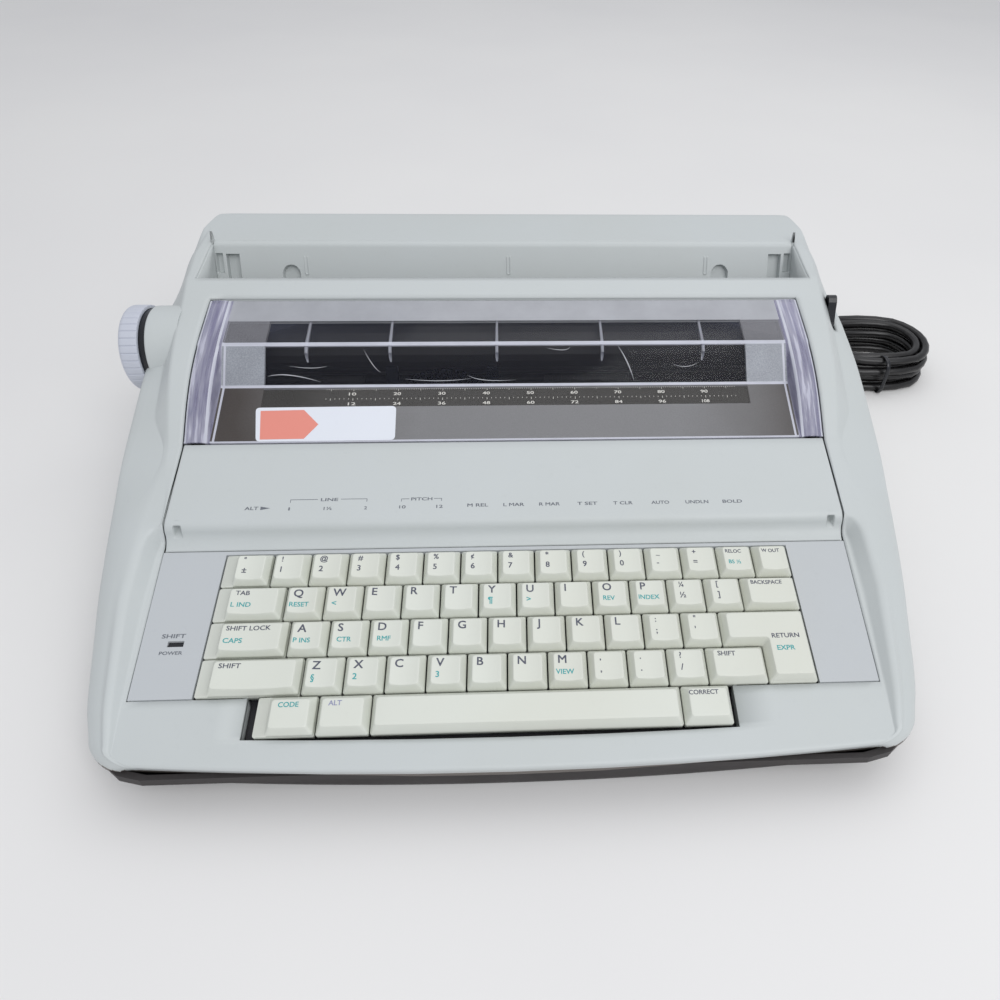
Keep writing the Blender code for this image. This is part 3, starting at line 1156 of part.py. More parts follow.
def tube(name, route, radius, slot, resolution):
    """A round cord along a run of points, as a curve with filled caps."""
    curve = bpy.data.curves.new(name, "CURVE")
    curve.dimensions = "3D"
    curve.bevel_depth = radius
    curve.bevel_resolution = resolution
    curve.use_fill_caps = True
    spline = curve.splines.new("POLY")
    spline.points.add(len(route) - 1)
    for point, place in zip(spline.points, route):
        point.co = (*place, 1)
    item = bpy.data.objects.new(name, curve)
    item.data.materials.append(material(slot))
    item.parent = ROOT
    PARTS.objects.link(item)
    return item


def smooth_route(points, per_span):
    """Read points from a smooth curve through a route's own points."""
    places = [Vector(p) for p in points]
    padded = [places[0] * 2 - places[1]] + places + [places[-1] * 2 - places[-2]]
    route = []
    for i in range(1, len(padded) - 2):
        a, b, c, d = padded[i - 1:i + 3]
        for step in range(per_span):
            t = step / per_span
            route.append(0.5 * (2 * b + (c - a) * t + (2 * a - 5 * b + 4 * c - d) * t ** 2
                                + (3 * b - a - 3 * c + d) * t ** 3))
    route.append(places[-1])
    return route


def hank_route():
    """Loops spiral in and out from the ground up to the top layer, then a tail down to the plug."""
    route = []
    layer_points = HANK_LOOPS_PER_LAYER * LOOP_POINTS
    climb = LOOP_POINTS / 2
    run = HANK_HALF_LENGTH - HANK_HALF_WIDTH
    for i in range(layer_points * HANK_LAYERS + 1):
        layer, along = divmod(i, layer_points)
        inward = along if layer % 2 == 0 else layer_points - along
        width = HANK_HALF_WIDTH - HANK_STEP * inward / LOOP_POINTS
        angle = math.tau * i / LOOP_POINTS + math.pi
        shift = run * max(-1, min(1, HANK_RUN_SHARE * math.cos(angle)))
        rises = sum(min(1, max(0, (i - layer_points * n + climb / 2) / climb))
                    for n in range(1, HANK_LAYERS))
        height = CORD_RADIUS + GAP + HANK_LAYER_RISE * rises
        route.append(Vector((HANK_X + width * math.cos(angle) + shift, HANK_Y + width * math.sin(angle),
                             height)))
    corner = route[-1]
    drop = corner.z - PLUG_THICK / 2 - GAP
    for i in range(1, LOOP_POINTS // 2 + 1):
        share = i / (LOOP_POINTS // 2)
        ease = min(1, share * 1.12)
        fall = ease ** 2 * (3 - 2 * ease)
        route.append(corner + Vector((0, -HANK_TAIL * share, -drop * fall)))
    return route


def least_gap(route, radius, skip):
    """Least clear distance between stretches of a tube that are not neighbours along it."""
    least = None
    for i, a in enumerate(route):
        for b in route[i + skip:]:
            distance = (a - b).length - radius * 2
            if least is None or distance < least:
                least = distance
    return least


def build_cord():
    """Strain relief, free stretch, hank and plug of the power cord."""
    bm = bmesh.new()
    outside = RELIEF_LENGTH - OVERRUN * 2
    cylinder(bm, (RELIEF_X, CASE_DEPTH + outside - RELIEF_LENGTH / 2, RELIEF_Z), "Y", RELIEF_RADIUS,
             RELIEF_LENGTH, 16, RELIEF_RADIUS * RELIEF_TAPER_SHARE)
    add_part("cord_strain_relief", bm, "black_plastic")
    hank = hank_route()
    print("least gap in the hank, mm:", round(least_gap(hank, CORD_RADIUS, LOOP_POINTS // 2) / MM, 2))
    tube("cord_hank", hank, CORD_RADIUS, "cord_black", 1)
    ground = CORD_RADIUS + GAP
    start = Vector((RELIEF_X, CASE_DEPTH + outside + GAP, RELIEF_Z))
    heading = (hank[0] - hank[1]).normalized()
    end = hank[0] + heading * GAP
    points = [start, start + Vector((0, CORD_RADIUS * 3, 0)),
              start + Vector((CORD_RADIUS, CORD_RADIUS * 8, -CORD_RADIUS * 2.6)),
              start + Vector((CORD_RADIUS * 6, CORD_RADIUS * 13, ground - RELIEF_Z + CORD_RADIUS)),
              start + Vector((CORD_RADIUS * 15, CORD_RADIUS * 15, ground - RELIEF_Z)),
              start + Vector((CORD_RADIUS * 24, CORD_RADIUS * 11, ground - RELIEF_Z)),
              end + heading * CORD_RADIUS * 10, end + heading * CORD_RADIUS * 2, end]
    route = [Vector((p.x, p.y, max(p.z, ground))) for p in smooth_route(points, 6)]
    tube("power_cord", route, CORD_RADIUS, "cord_black", 2)
    tail = hank[-1]
    away = (hank[-1] - hank[-2]).normalized()
    build_plug(tail + away * GAP, away)
    length = sum((b - a).length for run in (route, hank) for a, b in zip(run, run[1:]))
    print("cord length, mm:", round(length / MM))


def build_plug(start, away):
    """Moulded two-blade plug lying at the cord's end, its blades pointing away from the hank."""
    heading = Vector((away.x, away.y, 0)).normalized()
    angle = math.atan2(heading.y, heading.x)
    bm = bmesh.new()
    sections = ((0, 0.45), (0.35, 0.6), (0.5, 1.0), (1.0, 1.0))
    rings = []
    for share, size in sections:
        x = PLUG_LENGTH * share
        wide = PLUG_WIDTH / 2 * size
        tall = PLUG_THICK / 2 * size
        rings.append([(x, wide * a, tall * b) for a, b in ((-1, -0.6), (-0.7, -1), (0.7, -1), (1, -0.6),
                                                          (1, 0.6), (0.7, 1), (-0.7, 1), (-1, 0.6))])
    loft(bm, rings)
    plug = add_part("power_plug", bm, "cord_black", start, (0, 0, angle))
    blades = bmesh.new()
    for side in (-1, 1):
        y = side * BLADE_SPACING / 2
        box(blades, (PLUG_LENGTH - OVERRUN, y - BLADE_THICK / 2, -BLADE_WIDTH / 2),
            (PLUG_LENGTH + BLADE_LENGTH, y + BLADE_THICK / 2, BLADE_WIDTH / 2))
    combine(plug, add_cutter("plug_blades", blades, start, (0, 0, angle)), "UNION")


def build():
    build_base()
    build_feet()
    build_upper_case()
    build_keyboard_panel()
    build_switch_plate()
    build_keys()
    build_lid()
    build_cover()
    build_platen()
    build_knob()
    build_feed_rollers()
    build_frame()
    build_rail()
    build_carriage()
    build_wheel()
    build_cassette()
    build_paper_guide()
    build_lever()
    build_cord()
    bpy.context.view_layer.update()


build()
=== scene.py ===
"""Looks of the electronic typewriter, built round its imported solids. Metres, +Z up, front towards -Y."""
import contextlib
import math

import bmesh
import bpy
import numpy as np
from mathutils import Matrix, Vector

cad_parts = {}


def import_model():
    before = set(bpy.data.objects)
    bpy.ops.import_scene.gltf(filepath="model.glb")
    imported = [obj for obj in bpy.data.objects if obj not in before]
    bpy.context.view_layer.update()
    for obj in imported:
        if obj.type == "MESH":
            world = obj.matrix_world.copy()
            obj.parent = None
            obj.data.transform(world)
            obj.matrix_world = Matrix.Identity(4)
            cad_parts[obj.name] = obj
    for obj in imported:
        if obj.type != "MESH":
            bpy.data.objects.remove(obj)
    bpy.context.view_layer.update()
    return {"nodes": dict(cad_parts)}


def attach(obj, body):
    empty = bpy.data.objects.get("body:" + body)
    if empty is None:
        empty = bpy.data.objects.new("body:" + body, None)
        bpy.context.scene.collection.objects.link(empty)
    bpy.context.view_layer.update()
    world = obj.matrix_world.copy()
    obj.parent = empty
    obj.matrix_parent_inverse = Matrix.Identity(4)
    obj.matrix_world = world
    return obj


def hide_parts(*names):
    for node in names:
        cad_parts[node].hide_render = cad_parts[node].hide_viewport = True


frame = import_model()
NODES = frame["nodes"]
SCENE = bpy.context.scene
MM = 0.001
# Machine millimetres run from the mid-plane, from the front edge and from the table
ORIGIN = np.array([-5.75, 187.0, 0.0]) * MM


def world(points):
    """Machine millimetres to the row frame in metres."""
    return np.asarray(points, float) * MM - ORIGIN


def stack(*parts):
    """Arrays or numbers side by side as one array of points, stretched to one shape."""
    return np.stack(np.broadcast_arrays(*parts), -1)


# Materials

def srgb(red, green, blue):
    """Display values from 0 to 255 as linear light."""
    values = np.array([red, green, blue], float) / 255.0
    linear = np.where(values <= 0.04045, values / 12.92, ((values + 0.055) / 1.055) ** 2.4)
    return tuple(float(v) for v in linear)


class Graph:
    """Small helper round one material's nodes: a call adds a node and gives its output."""

    def __init__(self, name):
        self.material = bpy.data.materials.new(name)
        self.material.use_nodes = True
        self.nodes = self.material.node_tree.nodes
        self.links = self.material.node_tree.links
        self.shader = self.nodes["Principled BSDF"]
        self.coords = self.nodes.new("ShaderNodeTexCoord")

    def put(self, slot, value):
        """Link an output to a slot, or set the slot to a number, a vector or a colour."""
        if isinstance(value, bpy.types.NodeSocket):
            self.links.new(value, slot)
        elif slot.type == "RGBA":
            slot.default_value = (*value, 1.0)
        else:
            slot.default_value = value

    def set(self, name, value):
        """One input of the shader."""
        self.put(self.shader.inputs[name], value)

    def add(self, kind, **inputs):
        """A new node with inputs by name."""
        node = self.nodes.new("ShaderNode" + kind)
        for name, value in inputs.items():
            self.put(node.inputs[name], value)
        return node

    def noise(self, scale, detail=3.0, rough=0.55, stretch=None):
        """Noise on Object coordinates, each axis scaled by its stretch."""
        place = self.coords.outputs["Object"]
        if stretch:
            place = self.add("Mapping", Vector=place, Scale=stretch).outputs["Vector"]
        return self.add("TexNoise", Vector=place, Scale=scale, Detail=detail, Roughness=rough).outputs["Fac"]

    def ramp(self, source, low, high, start=0.0, end=1.0):
        """The range from low to high mapped to the one from start to end."""
        ends = {"From Min": low, "From Max": high, "To Min": start, "To Max": end}
        return self.add("MapRange", Value=source, **ends).outputs["Result"]

    def math(self, operation, a, b):
        """One operation on two values."""
        node = self.add("Math")
        node.operation = operation
        self.put(node.inputs[0], a)
        self.put(node.inputs[1], b)
        return node.outputs[0]

    def mix(self, factor, a, b):
        """Two colours mixed."""
        node = self.add("Mix")
        node.data_type = "RGBA"
        for place, value in ((0, factor), (6, a), (7, b)):
            self.put(node.inputs[place], value)
        return node.outputs[2]

    def bump(self, source, distance):
        """A normal raised by a source over a distance."""
        return self.add("Bump", Height=source, Distance=distance, Strength=1.0).outputs["Normal"]

    def across(self):
        """The X of Object coordinates."""
        return self.add("SeparateXYZ", Vector=self.coords.outputs["Object"]).outputs["X"]


def dimmer(colour, share):
    """A colour times a share."""
    return tuple(c * share for c in colour)


def plastic(name, colour, rough, grain=2600.0, depth=0.00003, stain=None, stain_share=0.35):
    """Moulded plastic: fine grain, faint blotches of age, and roughness that varies a little."""
    g = Graph(name)
    stain = stain or tuple(c * k for c, k in zip(colour, (0.93, 0.92, 0.88)))
    blotch = g.ramp(g.noise(9.0, 4.0), 0.42, 0.75)
    speck = g.ramp(g.noise(160.0, 5.0, 0.7), 0.60, 0.82)
    base = g.mix(g.math("MULTIPLY", blotch, stain_share), colour, stain)
    base = g.mix(g.math("MULTIPLY", speck, 0.22), base, dimmer(colour, 0.80))
    g.set("Base Color", base)
    g.set("Roughness", g.ramp(g.noise(40.0, 4.0), 0.3, 0.7, rough - 0.05, rough + 0.05))
    g.set("Normal", g.bump(g.noise(grain, 2.0), depth))
    return g.material


def plain_metal(name, colour, rough, stretch=(4.0, 900.0, 900.0)):
    """Steel with fine drawn lines along X."""
    g = Graph(name)
    lines = g.noise(1.0, 3.0, 0.6, stretch)
    g.set("Base Color", g.mix(g.ramp(lines, 0.3, 0.7), colour, dimmer(colour, 0.78)))
    g.set("Metallic", 1.0)
    g.set("Roughness", g.ramp(lines, 0.3, 0.7, rough, rough + 0.15))
    g.set("Normal", g.bump(lines, 0.00002))
    return g.material


CASE = plastic("case_plastic", srgb(194, 199, 199), 0.46)
PANEL = plastic("panel_plastic", srgb(188, 192, 195), 0.46)
# Darker warm grey for the lower case's edge under the upper case's lip: painted shade, not the plastic's own
# colour
SHADE = plastic("lower_case_edge_painted_shade", srgb(104, 98, 93), 0.55)
# Near black for the lower case and its band: painted shade under the upper case
BASE_PAINTED_SHADE = plastic("base_painted_shade", srgb(44, 40, 40), 0.55)
KEY = plastic("key_plastic", srgb(214, 217, 208), 0.40, 3200.0, 0.00002, srgb(204, 203, 188))
KNOB = plastic("knob_plastic", srgb(194, 198, 209), 0.42)
BLACK = plastic("black_moulding", srgb(22, 24, 30), 0.24)
DARK = plastic("dark_moulding", srgb(52, 52, 56), 0.5)
GUIDE = plastic("guide_plastic", srgb(172, 176, 178), 0.42)
STEEL = plain_metal("frame_steel", srgb(176, 176, 178), 0.32)
RUBBER = plastic("black_rubber", srgb(34, 33, 34), 0.72, 1400.0, 0.00006)
PLATEN = plastic("platen_rubber", srgb(34, 33, 35), 0.42, 900.0, 0.00002, srgb(50, 48, 48), 0.6)
CORD = plastic("cord_jacket", srgb(24, 23, 24), 0.30, 700.0, 0.00002)


def paint(material, *names):
    """Give carried-over CAD nodes a material."""
    for name in names:
        for slot in NODES[name].material_slots:
            slot.material = material


# Mesh helpers

def mesh_piece(name, points, faces, material, body, stands_for=(), smooth=True):
    """A piece from whole arrays of points and quads or triangles, at the origin, on one body."""
    mesh = bpy.data.meshes.new(name)
    mesh.from_pydata(np.asarray(points, float).tolist(), [], [tuple(int(i) for i in f) for f in faces])
    mesh.validate()
    mesh.polygons.foreach_set("use_smooth", np.full(len(mesh.polygons), smooth))
    mesh.materials.append(material)
    mesh.update()
    piece = bpy.data.objects.new(name, mesh)
    SCENE.collection.objects.link(piece)
    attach(piece, body)
    if stands_for:
        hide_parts(*stands_for)
    return piece


def grid_faces(rows, columns, wrap=False):
    """Quads of a grid of points, row by row; wrap joins each row's ends."""
    last = columns if wrap else columns - 1
    i, j = np.meshgrid(np.arange(rows - 1), np.arange(last), indexing="ij")
    k = (j + 1) % columns
    ahead = (i + 1) * columns
    return stack(i * columns + j, i * columns + k, ahead + k, ahead + j).reshape(-1, 4)


def joined(parts):
    """Several pairs of points and faces as one pair."""
    points, faces, count = [], [], 0
    for some_points, some_faces in parts:
        points.append(some_points)
        faces += [tuple(int(i) + count for i in face) for face in some_faces]
        count += len(some_points)
    return np.concatenate(points), faces


def grid_piece(name, points, material, body, stands_for=(), wrap=False, smooth=True):
    """A piece from rows of points in machine millimetres, all rows of the same length."""
    rows, columns, _ = points.shape
    faces = grid_faces(rows, columns, wrap)
    return mesh_piece(name, world(points.reshape(-1, 3)), faces, material, body, stands_for, smooth)


def add_wall(piece, thickness, offset=-1):
    """Give a surface a wall in millimetres: inwards at an offset of -1, to both sides at 0."""
    wall = piece.modifiers.new("wall", "SOLIDIFY")
    wall.thickness = thickness * MM
    wall.offset = offset
    return wall


@contextlib.contextmanager
def editing(piece):
    """The piece's mesh opened for bmesh and written back."""
    bm = bmesh.new()
    bm.from_mesh(piece.data)
    yield bm
    bm.to_mesh(piece.data)
    bm.free()


def outward(piece):
    """Turn a closed piece's faces outwards."""
    with editing(piece) as bm:
        bmesh.ops.recalc_face_normals(bm, faces=bm.faces)
    return piece


def sharpen(piece, degrees):
    """Smooth faces, with edges above an angle kept sharp."""
    limit = math.radians(degrees)
    with editing(piece) as bm:
        for edge in bm.edges:
            edge.smooth = len(edge.link_faces) == 2 and edge.calc_face_angle(0.0) < limit
        for face in bm.faces:
            face.smooth = True


def tidy_mesh(piece, distance):
    """Merge doubled points, drop flat faces and loose points, turn the faces up and smooth them."""
    with editing(piece) as bm:
        bmesh.ops.remove_doubles(bm, verts=bm.verts, dist=distance * MM)
        bmesh.ops.dissolve_degenerate(bm, edges=bm.edges, dist=distance * MM)
        bmesh.ops.delete(bm, geom=[v for v in bm.verts if not v.link_faces], context="VERTS")
        bmesh.ops.recalc_face_normals(bm, faces=bm.faces)
        if sum(f.normal.z * f.calc_area() for f in bm.faces) < 0:
            bmesh.ops.reverse_faces(bm, faces=bm.faces)
        for face in bm.faces:
            face.smooth = True


def bend(a, corner, b, t):
    """The quadratic curve that leaves a and reaches b along lines through the corner, at a share t."""
    return (1 - t) ** 2 * a + 2 * t * (1 - t) * corner + t ** 2 * b


# Camera

CAMERA_AXES = [[0.9987, -0.0448, 0.0225], [-0.015, -0.6941, -0.7197], [0.0479, 0.7185, -0.6939]]
CAMERA_AT = [4.4, -158.9, 346.9]
LENS, SENSOR, SHIFT_X = 27.36, 36, -0.055


def build_camera():
    """Camera at the photograph's place, found from the key grid."""
    u, _, vt = np.linalg.svd(np.array(CAMERA_AXES))
    rows = u @ vt
    place = world(CAMERA_AT)
    data = bpy.data.cameras.new("camera")
    camera = bpy.data.objects.new("camera", data)
    SCENE.collection.objects.link(camera)
    matrix = Matrix.Identity(4)
    for i in range(3):
        matrix[i][0] = rows[0][i]
        matrix[i][1] = -rows[1][i]
        matrix[i][2] = -rows[2][i]
        matrix[i][3] = place[i]
    camera.matrix_world = matrix
    data.sensor_width = SENSOR
    data.lens = LENS
    data.shift_x = SHIFT_X
    data.clip_start = 0.01
    SCENE.camera = camera


build_camera()

# Cord

CORD_R, CORD_GAP = 3.0, 0.3
HANK = (286.0, 352.0)
HANK_HALF_LENGTH, HANK_HALF_WIDTH = 46.0, 35.0
LOOP_STEP, LAYER_RISE, TAIL = 7.0, 7.0, 62.0
LAYERS, TURN_POINTS, TAIL_POINTS = 4, 24, 12
PLUG_DROP = 7.5
CORD_EXIT = (150.0, 396.3, 30.0)
LEAD_POINTS = 6
TIE_AT = (286.0, 320.5, 14.0)
TIE_ACROSS, TIE_UP, TIE_LOW, TIE_POINTS = 8.6, 14.6, -13.6, 40
TIE_SECTION = np.array([(-1.6, 0.0), (-1.2, 0.35), (0, 0.5), (1.2, 0.35), (1.6, 0.0), (0, -0.2)])


def hank_route():
    """Loops that spiral in and out over four layers, then a tail that comes down to the plug.

    A loop is an oblong: a circle whose two halves are drawn apart. The height climbs by one layer
    over half a turn round each layer's end, and the tail falls on an eased line.
    """
    layer_points = 2 * TURN_POINTS
    i = np.arange(layer_points * LAYERS + 1)
    along = i % layer_points
    inward = np.where(i // layer_points % 2 == 0, along, layer_points - along)
    width = HANK_HALF_WIDTH - LOOP_STEP * inward / TURN_POINTS
    angle = 2 * math.pi * i / TURN_POINTS + math.pi
    shift = (HANK_HALF_LENGTH - HANK_HALF_WIDTH) * np.clip(2.2 * np.cos(angle), -1, 1)
    climb = TURN_POINTS / 2
    rises = sum(np.clip((i - layer_points * n + climb / 2) / climb, 0, 1) for n in range(1, LAYERS))
    height = CORD_R + CORD_GAP + LAYER_RISE * rises
    loops = stack(HANK[0] + width * np.cos(angle) + shift, HANK[1] + width * np.sin(angle), height)
    corner = loops[-1]
    share = np.arange(1, TAIL_POINTS + 1) / TAIL_POINTS
    eased = np.minimum(1, share * 1.12)
    drop = corner[2] - PLUG_DROP - CORD_GAP
    tail = corner + stack(share * 0, -TAIL * share, -drop * eased ** 2 * (3 - 2 * eased))
    return np.concatenate([loops, tail])


def lead_route(hank):
    """The free stretch: out of the strain relief, down and round to the first loop.

    It is a Catmull-Rom curve through nine places, held above the table by the cord's radius.
    """
    start = np.array(CORD_EXIT)
    heading = hank[0] - hank[1]
    heading = heading / np.linalg.norm(heading)
    end = hank[0] + heading * CORD_GAP
    r = CORD_R
    low = r + CORD_GAP - start[2]
    points = [start, start + (0, r * 3, 0), start + (r, r * 8, -r * 2.6), start + (r * 6, r * 13, low + r),
              start + (r * 15, r * 15, low), start + (r * 24, r * 11, low), end + heading * r * 10,
              end + heading * r * 2, end]
    padded = [points[0] * 2 - points[1], *points, points[-1] * 2 - points[-2]]
    t = (np.arange(LEAD_POINTS) / LEAD_POINTS)[:, None]
    spans = []
    for a, b, c, d in zip(padded, padded[1:], padded[2:], padded[3:]):
        spans.append(0.5 * (2 * b + (c - a) * t + (2 * a - 5 * b + 4 * c - d) * t ** 2
                            + (3 * b - a - 3 * c + d) * t ** 3))
    route = np.concatenate([*spans, [points[-1]]])
    route[:, 2] = np.maximum(route[:, 2], r + CORD_GAP)
    return route


def build_cord():
    """One unbroken lead from the strain relief to the plug, with a tie round the hank."""
    hank = hank_route()
    lead = lead_route(hank)
    route = np.concatenate([lead[:-1], hank])
    curve = bpy.data.curves.new("power_lead", "CURVE")
    curve.dimensions = "3D"
    curve.bevel_depth = CORD_R * MM
    curve.bevel_resolution = 4
    curve.use_fill_caps = True
    spline = curve.splines.new("POLY")
    spline.points.add(len(route) - 1)
    places = world(route)
    spline.points.foreach_set("co", np.concatenate([places, np.ones((len(places), 1))], 1).ravel())
    spline.use_smooth = True
    curve.materials.append(CORD)
    piece = bpy.data.objects.new("power_lead", curve)
    SCENE.collection.objects.link(piece)
    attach(piece, "case")
    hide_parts("power_cord", "cord_hank")
    tie = build_tie()


def build_tie():
    """Wire tie round the hank's left run: a ribbon swept round an oblong whose corners are full."""
    turn = np.linspace(0, 2 * math.pi, TIE_POINTS, endpoint=False)
    across = TIE_ACROSS * np.sign(np.cos(turn)) * np.abs(np.cos(turn)) ** 0.75
    up = TIE_UP * np.sign(np.sin(turn)) * np.abs(np.sin(turn)) ** 0.6
    ring = stack(0.0, across, np.maximum(up, TIE_LOW)) + TIE_AT
    normal = stack(0.0, across / TIE_ACROSS, up / TIE_UP)
    normal /= np.linalg.norm(normal, axis=1)[:, None]
    grid = ring[:, None, :] + normal[:, None, :] * TIE_SECTION[None, :, 1:2]
    grid[:, :, 0] += TIE_SECTION[None, :, 0]
    sides = len(TIE_SECTION)
    faces = grid_faces(TIE_POINTS + 1, sides, True) % (TIE_POINTS * sides)
    return mesh_piece("cord_tie", world(grid.reshape(-1, 3)), faces, BLACK, "case")


build_cord()

# Keys

PITCH = 19.05
PANEL_Z, PANEL_RISE, LID_RISE = 30.0, 0.19, 0.27
TILT = math.atan(PANEL_RISE)
KEY_LEFT, KEY_FRONT = -140.2, 16.0
HALF_GAP = 0.375
RIM, TOP, SKIRT = 0.8, 5.8, 3.5
SIDE, FRONT, REAR = 2.5, 2.4, 3.0
DISH, LEDGE, SOFT_EDGE = 0.8, 5.3, 0.42
LOW_RADIUS, HIGH_RADIUS = 0.9, 1.5
STEM_HALF, STEM_TIP = 2, -11.7
RETURN_AT, RETURN_MIDDLE, RETURN_STEM = (13.75, 2), (0.52, 0.42), (0.625, 0.5)
RETURN_HALF_TOP = 30.0
LETTER_ROWS = (("QWERTYUIOP", 1.5, 3), ("ASDFGHJKL", 1.75, 2), ("ZXCVBNM", 2.25, 1))
SPECIALS = (("key_tab", 0, 1.5, 3, True, True), ("key_backspace", 13.5, 1.5, 3, False, True),
            ("key_shift_lock", 0, 1.75, 2, True, True), ("key_shift_left", 0, 2.25, 1, True, True),
            ("key_shift_right", 12.25, 1.5, 1, False, True), ("key_code", 1.55, 1.18, 0, True, False),
            ("key_alt", 2.73, 1.27, 0, False, False), ("key_space", 4.0, 7.49, 0, False, False),
            ("key_correct", 11.49, 1.22, 0, False, False))
SYMBOLS = tuple((c + 0.5, 4) for c in range(15)) + ((12.0, 3), (13.0, 3), (11.25, 2), (12.25, 2),
                                                    (9.75, 1), (10.75, 1), (11.75, 1))


def on_keyboard(points, column, row):
    """From a key's own millimetres (right, up the slope, off the slope) to the machine's."""
    p = np.asarray(points, float)
    x = KEY_LEFT + column * PITCH + p[..., 0]
    along = row * PITCH + p[..., 1]
    y = KEY_FRONT + along * math.cos(TILT) - p[..., 2] * math.sin(TILT)
    z = PANEL_Z + PANEL_RISE * KEY_FRONT + along * math.sin(TILT) + p[..., 2] * math.cos(TILT)
    return stack(x, y, z)


def round_ring(corners, radius, arc=5, run=7):
    """A right-angled outline with each corner turned into a quarter circle, then points along each side."""
    corners = np.asarray(corners, float)
    ahead = np.roll(corners, -1, 0) - corners
    ahead /= np.linalg.norm(ahead, axis=1)[:, None]
    behind = np.roll(ahead, 1, 0)
    turn = np.linspace(0, math.pi / 2, arc)
    arcs = []
    for p, into, out in zip(corners, behind, ahead):
        middle = p - radius * into + radius * out
        arcs.append(middle + radius * (-np.cos(turn)[:, None] * out + np.sin(turn)[:, None] * into))
    ring = []
    for a, b in zip(arcs, arcs[1:] + arcs[:1]):
        ring.append(a)
        t = (np.arange(1, run) / run)[:, None]
        ring.append(a[-1] + (b[0] - a[-1]) * t)
    return np.concatenate(ring)


def cap_height(x, half_top, dish):
    """Height of a cap's top: a shallow cylinder that sinks along its middle line."""
    return TOP - dish * np.maximum(0, 1 - (x / half_top) ** 2)


def cap_grid(low, high, base, middle, half_top, dish):
    """Rings of a keycap: wall, slope up to the dished top's edge, a soft edge, then rings to the middle.

    low is the outline at the rim, high the outline where the slopes would meet a flat top, and
    base the outline of the skirt. Where the dish is deep the slope stops earlier, so the edge
    moves outwards there.
    """
    sink = (TOP - cap_height(high[:, 0], half_top, dish)) / (TOP - RIM)
    edge = high + (low - high) * sink[:, None]
    edge = np.column_stack([edge, cap_height(edge[:, 0], half_top, dish)])
    foot = np.column_stack([low, np.full(len(low), RIM)])
    inner = np.column_stack([middle + (edge[:, :2] - middle) * 0.93, np.zeros(len(low))])
    inner[:, 2] = cap_height(inner[:, 0], half_top, dish)
    down = foot - edge
    down /= np.linalg.norm(down, axis=1)[:, None]
    side = inner - edge
    side /= np.linalg.norm(side, axis=1)[:, None]
    a, b = edge + down * SOFT_EDGE, edge + side * SOFT_EDGE
    rings = [np.column_stack([base, np.full(len(base), -SKIRT)]),
             np.column_stack([base, np.full(len(base), RIM - 0.25)]),
             np.column_stack([base + (middle - base) * 0.012, np.full(len(base), RIM)])]
    if np.abs(base - low).max() > 0.01:
        rings.append(foot + (0, 0, 0.05))
    for t in (0.25, 0.5, 0.75):
        rings.append(foot + (a - foot) * t + np.array([0, 0, -0.10 * math.sin(math.pi * t)]))
    for t in (0.0, 0.25, 0.5, 0.75, 1.0):
        rings.append(bend(a, edge, b, t))
    for share in (0.88, 0.74, 0.58, 0.40, 0.2, 0.02):
        ring = np.column_stack([middle + (b[:, :2] - middle) * share, np.zeros(len(b))])
        ring[:, 2] = cap_height(ring[:, 0], half_top, dish)
        rings.append(ring)
    return np.stack(rings)


def box_corners(left, right, front, rear):
    """Corners of an upright rectangle, anticlockwise from the left front one."""
    return [(left, front), (right, front), (right, rear), (left, rear)]


def cap_parts(width, ledge, dish):
    """Ring grid of a plain keycap of a width in key pitches."""
    half = width * PITCH / 2 - HALF_GAP
    deep = PITCH / 2 - HALF_GAP
    run = max(7, int(7 * width))
    low = round_ring(box_corners(-half, half, -deep, deep), LOW_RADIUS, run=run)
    top = box_corners(-half + SIDE, half - SIDE, -deep + FRONT, deep - REAR)
    high = round_ring(top, HIGH_RADIUS, run=run)
    base = round_ring(box_corners(-half - ledge, half, -deep, deep), LOW_RADIUS, run=run)
    return cap_grid(low, high, base, np.array([0.0, 0.0]), half - SIDE, dish)


def stem_box():
    """The square stem under a cap, as eight points and its side faces."""
    corners = np.array(box_corners(-STEM_HALF, STEM_HALF, -STEM_HALF, STEM_HALF), float)
    low = np.column_stack([corners, np.full(4, STEM_TIP)])
    high = np.column_stack([corners, np.full(4, -SKIRT + 0.2)])
    return np.concatenate([low, high]), np.array([(0, 1, 5, 4), (1, 2, 6, 5), (2, 3, 7, 6), (3, 0, 4, 7),
                                                  (3, 2, 1, 0), (4, 5, 6, 7)])


def cap_mesh(grid, stem_at=(0.0, 0.0)):
    """Points and faces of one cap with its bottom, its closed middle and its stem."""
    rows, columns, _ = grid.shape
    last = (rows - 1) * columns
    faces = [*grid_faces(rows, columns, True), range(columns - 1, -1, -1), range(last, last + columns)]
    stem, stem_faces = stem_box()
    return joined([(grid.reshape(-1, 3), faces), (stem + (*stem_at, 0), stem_faces)])


def return_cap():
    """The L-shaped cap over two rows, in its own millimetres about the corner of its step."""
    left, right = -PITCH + HALF_GAP, 1.25 * PITCH - HALF_GAP
    front, rear = -PITCH + HALF_GAP, PITCH - HALF_GAP

    def corners(side, near, far):
        """The L's corners, moved in by a side, a front and a rear distance."""
        return [(HALF_GAP + side, front + near), (right - side, front + near), (right - side, rear - far),
                (left + side, rear - far), (left + side, HALF_GAP + near), (HALF_GAP + side, HALF_GAP + near)]

    low = round_ring(corners(0, 0, 0), LOW_RADIUS, run=12)
    high = round_ring(corners(SIDE, FRONT, REAR), HIGH_RADIUS, run=12)
    return cap_grid(low, high, low, PITCH * np.array(RETURN_MIDDLE), RETURN_HALF_TOP, 0.0)


